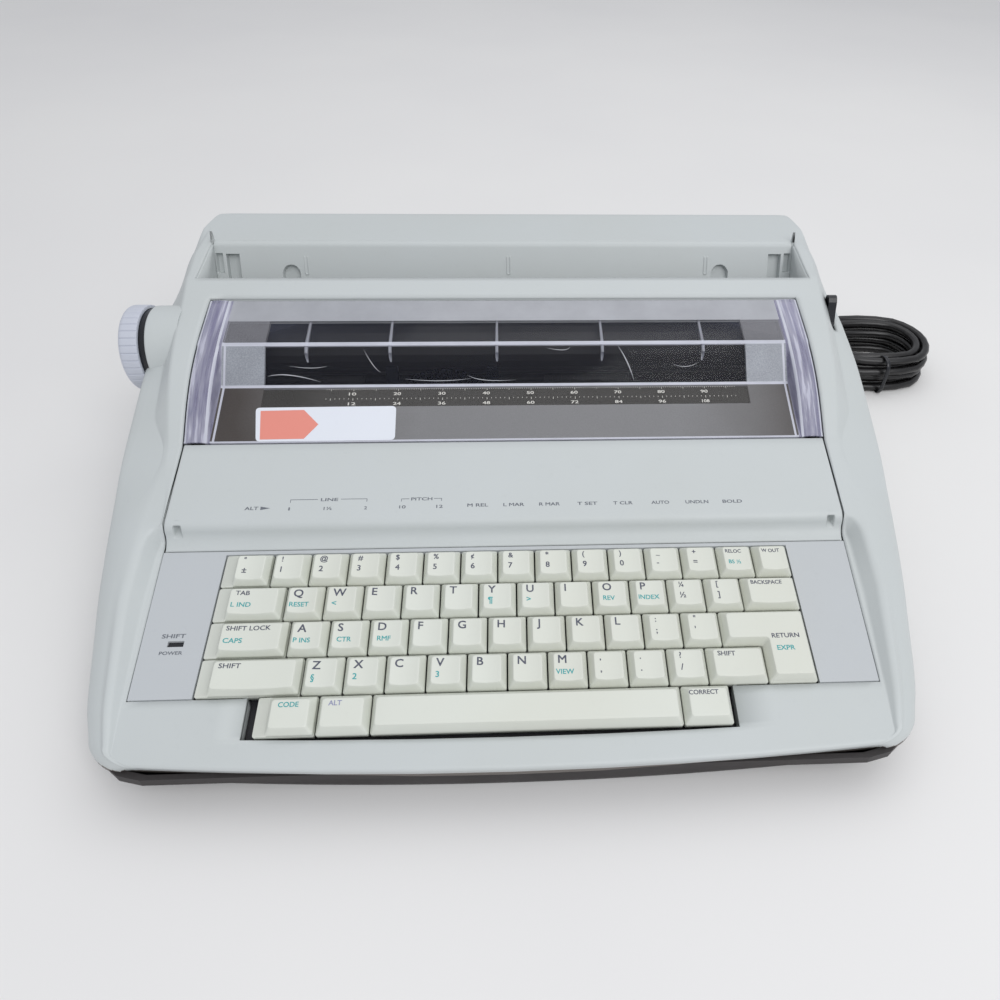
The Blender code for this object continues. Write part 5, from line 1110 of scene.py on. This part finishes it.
def build_skirt():
    """Band of the lower case under the upper one, painted near black as the shade there: the case's outline
    moved in, drawn down.
    """
    rear_y = DEPTH - REAR_RADIUS
    runs = ((0, FRONT_RADIUS, 14), (FRONT_RADIUS, rear_y, 50), (rear_y, DEPTH, 12))
    y = np.unique(np.round(np.concatenate([np.linspace(*run) for run in runs]), 3))
    right = stack(half_width(y), y)
    back = stack(np.linspace(0.98, -0.98, 21) * right[-1, 0], DEPTH)
    front = stack(np.linspace(-0.98, 0.98, 41) * right[0, 0], 0.0)
    ring = np.concatenate([right, back, (right * (-1, 1))[::-1], front])
    ring[:, 1] += bow(ring[:, 0], ring[:, 1])
    middle = np.array([0.0, DEPTH / 2])
    levels = []
    for z, inset in BAND_LEVELS:
        shrink = 1 - inset / np.array([HALF_WIDTH, DEPTH / 2])
        levels.append(np.column_stack([middle + (ring - middle) * shrink, np.full(len(ring), z)]))
    add_wall(outward(grid_piece("base_shade_band", np.stack(levels), BASE_PAINTED_SHADE, "case", wrap=True)), 2.0)


build_recess()
build_knob()
build_skirt()

# Front lid

LID_HALF, LID_REAR, LID_ROUND, LID_WALL = 178.0, 169.7, 1.0, 2.3
NOTCH_X, NOTCH_HALF, NOTCH_DEEP, NOTCH_TOP, NOTCH_FOOT = 171.5, 2.0, 6.0, 61.6, 55.8


def build_lid():
    """Front lid: a plane with a rolled lip and a cove under it, drawn across on a fixed profile.

    The profile is (y, z): the plane from the cover's seam to the lip, a quadratic roll, then a
    quadratic cove to the keyboard panel. The two finger notches sink the lip by 6 mm over an eased
    width of 4 mm.
    """
    plane = np.array([(y, lid_z(y)) for y in np.linspace(LID_REAR, 125.0, 16)])
    plane[0, 1] -= 0.4
    plane[1] = (LID_REAR - 0.5, lid_z(LID_REAR - 0.5))
    roll = curve3((124.2, lid_z(124.2)), (120.6, lid_z(120.6)), (119.6, 58.9), 9)
    cove = curve3((119.5, 58.4), (118.4, 53.6), (112.8, 51.5), 14)
    profile = np.concatenate([plane, roll, cove])
    notch = np.arange(164.5, 175.5, 0.4)
    edge = np.array([177.2, 177.7, LID_HALF])
    x = np.unique(np.round(np.concatenate([np.linspace(-176.5, 176.5, 60), notch, -notch, -edge, edge]), 2))
    points = stack(x, profile[:, :1], profile[:, 1:] - quarter(LID_ROUND, LID_HALF - np.abs(x)))
    near = ease((NOTCH_HALF - np.abs(np.abs(x) - NOTCH_X)) / 0.5)
    low = ease((NOTCH_TOP - profile[:, 1]) / 0.8) * ease((profile[:, 1] - NOTCH_FOOT) / 0.8)
    points[..., 1] += NOTCH_DEEP * near * low[:, None]
    piece = grid_piece("lid_panel", points, CASE, "lid", ("top_lid",))
    tidy_mesh(piece, 0.005)
    add_wall(piece, LID_WALL)


def flat_words(name, body, entries, place, colour):
    """Words on a flat face that place maps to: each entry is text, left, foot, cap height and width."""
    parts = []
    for text, left, foot, size, width in entries:
        points, faces = word(text, size, 1.0)
        points = points + (0, foot, 0)
        points[:, 0] = left + points[:, 0] * width / points[:, 0].max()
        parts.append((points, faces))
    flat, faces = joined(parts)
    places = place(flat[:, 0], flat[:, 1])
    places[:, 2] += flat[:, 2]
    mesh_piece(name, world(places), faces, colour, body, smooth=False)


def patch(name, outline, place, colour, lift=(0, 0, 0)):
    """One flat face on the lid from its outline, raised by a lift."""
    places = world(place(outline[:, 0], outline[:, 1]) + np.array(lift))
    mesh_piece(name, places, [tuple(range(len(outline)))], colour, "lid", smooth=False)


def bars(name, body, boxes, place, colour):
    """Thin flat bars on a flat face, each from its left, foot, right and top."""
    boxes = np.asarray(boxes, float)
    corners = boxes[:, [0, 1, 2, 1, 2, 3, 0, 3]].reshape(-1, 2)
    faces = np.arange(len(corners)).reshape(-1, 4)
    mesh_piece(name, world(place(corners[:, 0], corners[:, 1])), faces, colour, body, smooth=False)


def on_lid(x, y):
    """A place on the front lid's plane."""
    return stack(x, y, lid_z(y) + INK_HEIGHT)


def on_panel(x, y):
    """A place on the keyboard panel."""
    return stack(x, y, PANEL_Z + INK_HEIGHT + PANEL_RISE * y)


def build_lid_words():
    """Function words along the lid's front, their brackets and arrow, and the words at the status lamp."""
    row = (("ALT", -138.3, 7.0), ("M REL", -22.7, 11.0), ("L MAR", -3.7, 11.0), ("R MAR", 15.3, 11.0),
           ("T SET", 35.6, 10.7), ("T CLR", 54.8, 10.4), ("AUTO", 75.3, 9.6), ("UNDLN", 93.7, 12.4),
           ("BOLD", 113.8, 10.6))
    entries = [(text, left, 129.0, 1.9, width) for text, left, width in row]
    signs = (("1", -115.8, 128.4, 0.8), ("1½", -97.6, 128.4, 4.2), ("2", -76.6, 128.4, 1.5),
             ("10", -58.4, 128.6, 3.4), ("12", -39.0, 128.6, 3.4), ("LINE", -99.6, 133.6, 9.0),
             ("PITCH", -52.4, 133.2, 11.2))
    entries += [(text, left, foot, 1.8, width) for text, left, foot, width in signs]
    flat_words("lid_words", "lid", entries, on_lid, LID_INK)
    lines = [(-115.4, 134.5, -101.2, 134.8), (-115.4, 132.9, -115.1, 134.5), (-89.2, 134.5, -75.4, 134.8),
             (-75.7, 132.9, -75.4, 134.5), (-57.6, 134.1, -53.4, 134.4), (-57.6, 132.7, -57.3, 134.1),
             (-40.4, 134.1, -36.2, 134.4), (-36.5, 132.7, -36.2, 134.1)]
    bars("lid_brackets", "lid", lines, on_lid, LID_INK)
    arrow = np.array([(-130.2, 128.9), (-125.2, 129.9), (-130.2, 130.9)])
    patch("lid_arrow", arrow, on_lid, LID_INK)
    flat_words("lamp_words", "case", [("SHIFT", -167.4, 65.0, 2.1, 11.2), ("POWER", -166.6, 56.6, 1.7, 10.8)],
               on_panel, LID_INK)


LID_INK = ink("ink_label_grey", srgb(96, 101, 110))
build_lid()
build_lid_words()

# Clear cover

COVER_LINE = ((170.2, 76.1), (206.0, 88.0), (225.0, 104.3), (260.0, 112.0))
COVER_HALF, RAIL_IN, CLEAR_HALF, MIDDLE_HALF, COVER_WALL = 178.1, 166.4, 140.0, 162.0, 1.9
EDGE_BAND, LOW_BEND, HIGH_BEND, STRIP_SHARE, TOP_SHARE = 1.1, 0.9, 1.2, 0.62, 0.52
RAIL_SHARES = np.array([0.0, 0.04, 0.10, 0.30, 0.55, 0.80, 0.93, 1.0])
RAIL_CROWN = np.array([-0.9, -0.3, 0.0, 0.25, 0.3, 0.2, -0.1, -0.7])
WALL_SHARES = np.array([0.1, 0.35, 0.65, 0.9])


def cover_plastic(name, colour, clear, rough, cloud=0.0, other=None, grain=0.0, streaks=None):
    """Plastic one can see through: the share of light it stops rises with the angle, and a cloud varies it.

    other is a second colour in the middle of the width, painted light that makes the middle lighter than the
    ends; streaks is the colour of long lines of painted highlight.
    """
    g = Graph(name)
    weight = g.nodes.new("ShaderNodeLayerWeight")
    weight.inputs["Blend"].default_value = 0.25
    stop = g.ramp(weight.outputs["Fresnel"], 0.0, 1.0, clear, 1.0)
    if cloud:
        spots = g.ramp(g.noise(1500.0, 3.0, 0.7), 0.35, 0.65, -cloud, cloud)
        stop = g.math("MINIMUM", g.math("MAXIMUM", g.math("ADD", stop, spots), 0.0), 1.0)
    g.set("Alpha", stop)
    if streaks:
        # Long pale lines: painted highlight
        lines = g.ramp(g.noise(1.0, 3.0, 0.6, (420.0, 14.0, 60.0)), 0.38, 0.62)
        stop = g.math("MAXIMUM", stop, g.math("MULTIPLY", lines, 0.72))
        g.set("Alpha", stop)
        g.set("Base Color", g.mix(lines, colour, streaks))
    # Painted light: the middle of the width lighter than its ends
    elif other:
        out = g.math("ABSOLUTE", g.math("SUBTRACT", g.across(), 0.025), 0.0)
        slide = g.ramp(g.math("ADD", out, g.ramp(g.noise(9.0), 0.3, 0.7, -0.02, 0.02)), 0.165, 0.075)
        g.set("Base Color", g.mix(slide, colour, other))
    else:
        mottled = g.mix(g.ramp(g.noise(60.0, 4.0), 0.3, 0.7), colour, dimmer(colour, 0.88))
        g.set("Base Color", mottled)
    g.set("Roughness", g.ramp(g.noise(24.0, 3.0), 0.3, 0.7, rough * 0.8, rough * 1.2))
    if grain:
        g.set("Normal", g.bump(g.noise(1500.0, 3.0, 0.7), grain))
    return g.material


CLEAR = cover_plastic("cover_clear", srgb(70, 72, 84), 0.08, 0.06)
STRIP = cover_plastic("cover_scale_strip", srgb(84, 82, 80), 0.45, 0.12)
# Frosted front, lighter in the middle and darker towards the ends: painted light
SMOKY = cover_plastic("cover_frosted_front", srgb(66, 60, 57), 0.92, 0.36, 0.05, srgb(124, 124, 126), 0.00004)
FROSTED = cover_plastic("cover_frosted_ends", srgb(160, 164, 172), 0.84, 0.32, 0.14, None, 0.00005)
# Pale, nearly opaque rear of the cover's top: painted reflection on the clear plastic
REAR_REFLECTION = cover_plastic("cover_rear_painted_reflection", srgb(182, 184, 190), 0.80, 0.12)
HAZY = cover_plastic("cover_hazy_ends", srgb(134, 134, 140), 0.55, 0.25, 0.05)
# Lilac rails with long pale lines: painted highlights along them
RAIL = cover_plastic("cover_rail", srgb(150, 148, 176), 0.50, 0.10, streaks=srgb(206, 206, 222))
# Pale, less clear finish for the cover's edges and bends: painted highlight lines
GLINT = cover_plastic("cover_painted_glint", srgb(222, 224, 236), 0.72, 0.10)
SCRATCH = cover_plastic("cover_scratch", srgb(214, 216, 222), 0.72, 0.4)


def cover_profile():
    """Depth, height and zone of the cover's middle line, with its two bends rounded.

    Zones: 0 front edge, 1 frosted front, 2 scale strip, 3 bend, 4 brow, 5 bend, 6 and 7 top.
    """
    a, b, c, d = (np.array(p) for p in COVER_LINE)

    def between(p, q, low, high, count):
        """Points on a straight line from one share of it to another."""
        return p + (q - p) * np.linspace(low, high, count)[:, None]

    ab, bc, cd = (np.linalg.norm(q - p) for p, q in ((a, b), (b, c), (c, d)))
    low_in, low_out = LOW_BEND / ab, LOW_BEND / bc
    high_in, high_out = HIGH_BEND / bc, HIGH_BEND / cd
    parts = [(between(a, b, 0.0, EDGE_BAND / ab, 3), 0), (between(a, b, EDGE_BAND / ab, STRIP_SHARE, 9), 1),
             (between(a, b, STRIP_SHARE, 1 - low_in, 7), 2),
             (curve3(b + (a - b) * low_in, b, b + (c - b) * low_out, 6), 3),
             (between(b, c, low_out, 1 - high_in, 9), 4),
             (curve3(c + (b - c) * high_in, c, c + (d - c) * high_out, 6), 5),
             (between(c, d, high_out, TOP_SHARE, 8), 6), (between(c, d, TOP_SHARE, 1.0, 14), 7)]
    points = np.concatenate([parts[0][0][:1]] + [p[1:] for p, _ in parts])
    zones = np.concatenate([np.full(len(p) - 1, zone) for p, zone in parts])
    return points, zones


def build_cover():
    """Cover: a sunken middle and two side rails that bow like the cheeks, on one grid, with zones of finish.

    Each cross-section runs from the left rail's outer edge over its crown and down its inner wall to
    the middle, straight across, and back up. Each face takes the material of its zone.
    """
    middle, zones = cover_profile()
    y, z = middle[:, :1], middle[:, 1:]
    high = np.maximum(cheek_z(y) - 0.3, z + 0.02)
    rail_z = high + np.minimum(RAIL_CROWN, 0) * np.clip(high - z, 0.2, 1.0) + np.maximum(RAIL_CROWN, 0)
    wall_z = rail_z[:, -1:] + (z - rail_z[:, -1:]) * WALL_SHARES
    left_z = np.concatenate([rail_z, wall_z, z + np.array([0.25, 0.02])], 1)
    rail_x = COVER_HALF - (COVER_HALF - RAIL_IN) * RAIL_SHARES
    left_x = np.concatenate([rail_x, RAIL_IN - 0.4 - 1.4 * WALL_SHARES, [RAIL_IN - 2.2, RAIL_IN - 3.2]])
    end = np.linspace(CLEAR_HALF, MIDDLE_HALF, 10)[1:]
    across = np.concatenate([-end[::-1], np.linspace(-CLEAR_HALF, CLEAR_HALF, 48), end])
    x = np.concatenate([-left_x, across, left_x[::-1]])
    heights = np.concatenate([left_z, np.repeat(z, len(across), 1), left_z[:, ::-1]], 1)
    piece = grid_piece("cover", stack(x, y, heights), CLEAR, "lid", ("lid_window",))
    finishes = (CLEAR, SMOKY, STRIP, FROSTED, HAZY, RAIL, GLINT, REAR_REFLECTION)
    for material in finishes[1:]:
        piece.data.materials.append(material)
    faces = grid_faces(len(y), len(x))
    row, column = faces[:, 0] // len(x), faces[:, 0] % len(x)
    zone = zones[row]
    at = np.abs(x[column] + x[np.minimum(column + 1, len(x) - 1)]) / 2
    inside = at < RAIL_IN - 2.5
    clear = at < CLEAR_HALF
    place = np.minimum(column, len(x) - 2 - column)
    # The bends and the front edge take the pale glint: painted highlights along them
    rules = ((zone == 1, SMOKY), ((zone == 2) & clear, STRIP), ((zone == 2) & ~clear, SMOKY),
             ((zone >= 4) & clear, CLEAR), ((zone == 4) & ~clear, FROSTED), ((zone == 6) & ~clear, HAZY),
             (zone == 7, REAR_REFLECTION), ((zone == 3) | (zone == 5) | (zone == 0), GLINT))
    index = np.full(len(faces), finishes.index(RAIL))
    for chosen, finish in rules:
        index[inside & chosen] = finishes.index(finish)
    # Thin lines along the rails' edges and the walls' feet take the pale glint: painted highlights
    painted_glint_faces = (place < 2) | ((place >= 6) & (place < 8)) | ((place == len(left_x) - 1) & (zone < 6))
    index[painted_glint_faces] = finishes.index(GLINT)
    piece.data.polygons.foreach_set("material_index", index.astype(np.int32))
    sharpen(piece, 50)
    add_wall(piece, COVER_WALL)


def on_line(first, x, s):
    """A place just off a straight part of the cover: across, and along it from its corner."""
    a, b = np.array(COVER_LINE[first]), np.array(COVER_LINE[first + 1])
    along = (b - a) / np.linalg.norm(b - a)
    return stack(x, a[0] + along[0] * s - along[1] * 0.12, a[1] + along[1] * s + along[0] * 0.12)


def on_cover(x, s):
    """A place on the sloping front."""
    return on_line(0, x, s)


def on_brow(x, s):
    """A place on the steep brow."""
    return on_line(1, x, s)


RIB_XS = (-117.0, -69.0, -7.0, 55.0, 115.0)
RIB_SECTION = ((-1, 0), (-0.9, 0.5), (-0.55, 0.9), (0, 1), (0.55, 0.9), (0.9, 0.5), (1, 0))


def build_ribs():
    """Five bowed ribs under the cover's top, thicker where they meet the brow, in the pale glint material:
    painted highlight.
    """
    y = np.linspace(221.5, 258.0, 22)
    line = np.array(COVER_LINE)
    top = np.interp(y, line[:, 0], line[:, 1]) - 1.2
    share = (y - y[0]) / (y[-1] - y[0])
    drop = 6.5 - 4.5 * share ** 0.6
    half = 0.9 - 0.35 * share

    def rib(x):
        """Points of the rib at one place."""
        rows = [stack(x + half * out, y, top - drop * down) for out, down in RIB_SECTION]
        return np.stack(rows, 1).reshape(-1, 3)

    quads = grid_faces(len(y), len(RIB_SECTION), True)
    points, faces = joined((rib(x), quads) for x in RIB_XS)
    # The ribs' pale glint is painted highlight
    outward(mesh_piece("cover_ribs", world(points), faces, GLINT, "lid"))


def streak(name, points, width, place, material):
    """A thin curved line on a flat face, tapering to its ends."""
    path = curve3(*points, 24)
    turn = np.gradient(path, axis=0)
    side = np.stack([-turn[:, 1], turn[:, 0]], -1) / np.linalg.norm(turn, axis=1)[:, None]
    half = width / 2 * np.sin(np.linspace(0.12, math.pi - 0.12, 24))[:, None]
    flat = np.concatenate([path - side * half, path + side * half])
    mesh_piece(name, world(place(flat[:, 0], flat[:, 1])), grid_faces(2, 24), material, "lid", smooth=False)


SCALE_MIDDLE, SCALE_TICK, SCALE_NUMBER, SCALE_LEFT, SCALE_RIGHT = 12.6, 1.27, 25.4, -112, 132
TOP_TICKS, LOW_TICKS, TICK_HALF, TICK, LONG_TICK = 35.7, 29.1, 0.14, 0.7, 1.5
TOP_NUMBERS, LOW_NUMBERS, NUMBER_SIZE = 31.1, 24.3, 2.0
STICKER_RADIUS = 2.6
STICKER_CORNERS = np.array([(-139.5, 0.7), (-63.6, 0.9), (-64.2, 23.6), (-142.6, 23.2)])
ARROW = np.array([(-137.4, 2.0), (-113.6, 2.2), (-106.6, 11.6), (-115.6, 21.4), (-139.6, 21.0)])
SCRATCHES = (((64.0, 23.0), (70.0, 14.0), (73.0, 2.0)), ((-138.0, 6.0), (-128.0, 9.0), (-108.0, 2.5)),
             ((-126.0, 12.0), (-112.0, 9.5), (-104.0, 12.0)), ((-84.0, 22.0), (-78.0, 10.0), (-74.0, 8.0)),
             ((-24.0, 6.0), (-18.0, 1.5), (4.0, 3.0)), ((22.0, 22.0), (34.0, 19.0), (36.0, 22.5)),
             ((-60.0, 4.0), (-40.0, 1.5), (-22.0, 4.0)), ((96.0, 12.0), (104.0, 8.0), (112.0, 13.0)))


def build_cover_marks():
    """Typing scale on the strip, a plain sticker with an arrow, and a few scratches."""
    ticks, numbers = [], []
    for i in range(-92, 121):
        x = SCALE_MIDDLE + i * SCALE_TICK
        if not SCALE_LEFT < x < SCALE_RIGHT:
            continue
        tall = LONG_TICK if i % 10 == 0 else TICK
        for top in (TOP_TICKS, LOW_TICKS)[:2 - i % 2]:
            ticks.append((x - TICK_HALF, top - tall, x + TICK_HALF, top))
    for k in range(-4, 5):
        left = SCALE_MIDDLE + SCALE_NUMBER * k - 2.6
        numbers += [(str(50 + 10 * k), left, TOP_NUMBERS, NUMBER_SIZE, 4.2),
                    (str(60 + 12 * k), left, LOW_NUMBERS, NUMBER_SIZE, 4.4)]
    bars("scale_ticks", "lid", ticks, on_cover, SCALE_INK)
    flat_words("scale_numbers", "lid", numbers, on_cover, SCALE_INK)
    patch("sticker", rounded_patch(STICKER_CORNERS, STICKER_RADIUS), on_cover, STICKER)
    patch("sticker_arrow", ARROW, on_cover, CORAL, (0, -0.02, 0.05))
    for i, points in enumerate(SCRATCHES):
        streak(f"scratch_{i}", points, 0.55 if i < 2 else 0.35, on_brow, SCRATCH)


def rounded_patch(corners, radius):
    """Outline of a patch whose corners are quadratic curves."""
    ring = []
    for i, corner in enumerate(corners):
        before, after = corners[i - 1], corners[(i + 1) % len(corners)]
        a = corner + (before - corner) * radius / np.linalg.norm(before - corner)
        b = corner + (after - corner) * radius / np.linalg.norm(after - corner)
        ring.append(curve3(a, corner, b, 6))
    return np.concatenate(ring)


SCALE_INK = ink("ink_scale_white", srgb(204, 202, 196))
STICKER = plastic("sticker_paper", srgb(222, 226, 234), 0.35, 900.0, 0.00001)
CORAL = plastic("sticker_coral", srgb(226, 140, 126), 0.35, 900.0, 0.00001)
build_cover()
build_ribs()
build_cover_marks()

# Carried-over solids

paint(PANEL, "keyboard_panel")
# The base node also takes the near-black painted shade
paint(BASE_PAINTED_SHADE, "base_case")
paint(DARK, "key_switch_plate", "print_carriage")
paint(STEEL, "mechanism_frame", "carriage_rail")
paint(GUIDE, "paper_guide")
paint(RUBBER, "foot_strip_front", "foot_strip_rear", "feed_rollers", "cord_strain_relief", "power_plug")
paint(BLACK, "paper_release_lever", "ribbon_cassette", "daisy_wheel", "status_lamp")
paint(PLATEN, "platen")


# Floor and light

FLOOR_HALF = 8.0
LAMPS = (("lamp_top", (0.35, 0.55, 1.5), 1.5, 6.0), ("lamp_front", (0.55, -1.1, 1.35), 1.2, 13.0))
LAMP_AIM = (0, 0, 0.05)
SKY_COLOUR, SKY_STRENGTH = (0.93, 0.95, 1.0, 1.0), 0.62


def build_stage():
    """Plain pale floor, a soft lamp above and behind, a soft lamp in front and a pale sky."""
    mesh = bpy.data.meshes.new("floor")
    corners = [(x, y, 0) for x, y in box_corners(-FLOOR_HALF, FLOOR_HALF, -FLOOR_HALF, FLOOR_HALF)]
    mesh.from_pydata(corners, [], [(0, 1, 2, 3)])
    g = Graph("floor_paper")
    paper = g.mix(g.ramp(g.noise(2.0), 0.3, 0.7), srgb(233, 232, 230), srgb(228, 227, 226))
    g.set("Base Color", paper)
    g.set("Roughness", 0.9)
    mesh.materials.append(g.material)
    floor = bpy.data.objects.new("floor", mesh)
    SCENE.collection.objects.link(floor)
    sky = bpy.data.worlds.new("sky")
    SCENE.world = sky
    sky.use_nodes = True
    sky.node_tree.nodes["Background"].inputs["Color"].default_value = SKY_COLOUR
    sky.node_tree.nodes["Background"].inputs["Strength"].default_value = SKY_STRENGTH
    for name, place, size, power in LAMPS:
        data = bpy.data.lights.new(name, "AREA")
        data.shape = "SQUARE"
        data.size = size
        data.energy = power
        lamp = bpy.data.objects.new(name, data)
        lamp.location = place
        lamp.rotation_euler = (Vector(place) - Vector(LAMP_AIM)).to_track_quat("Z", "Y").to_euler()
        SCENE.collection.objects.link(lamp)


build_stage()
SCENE.view_settings.view_transform = "Standard"
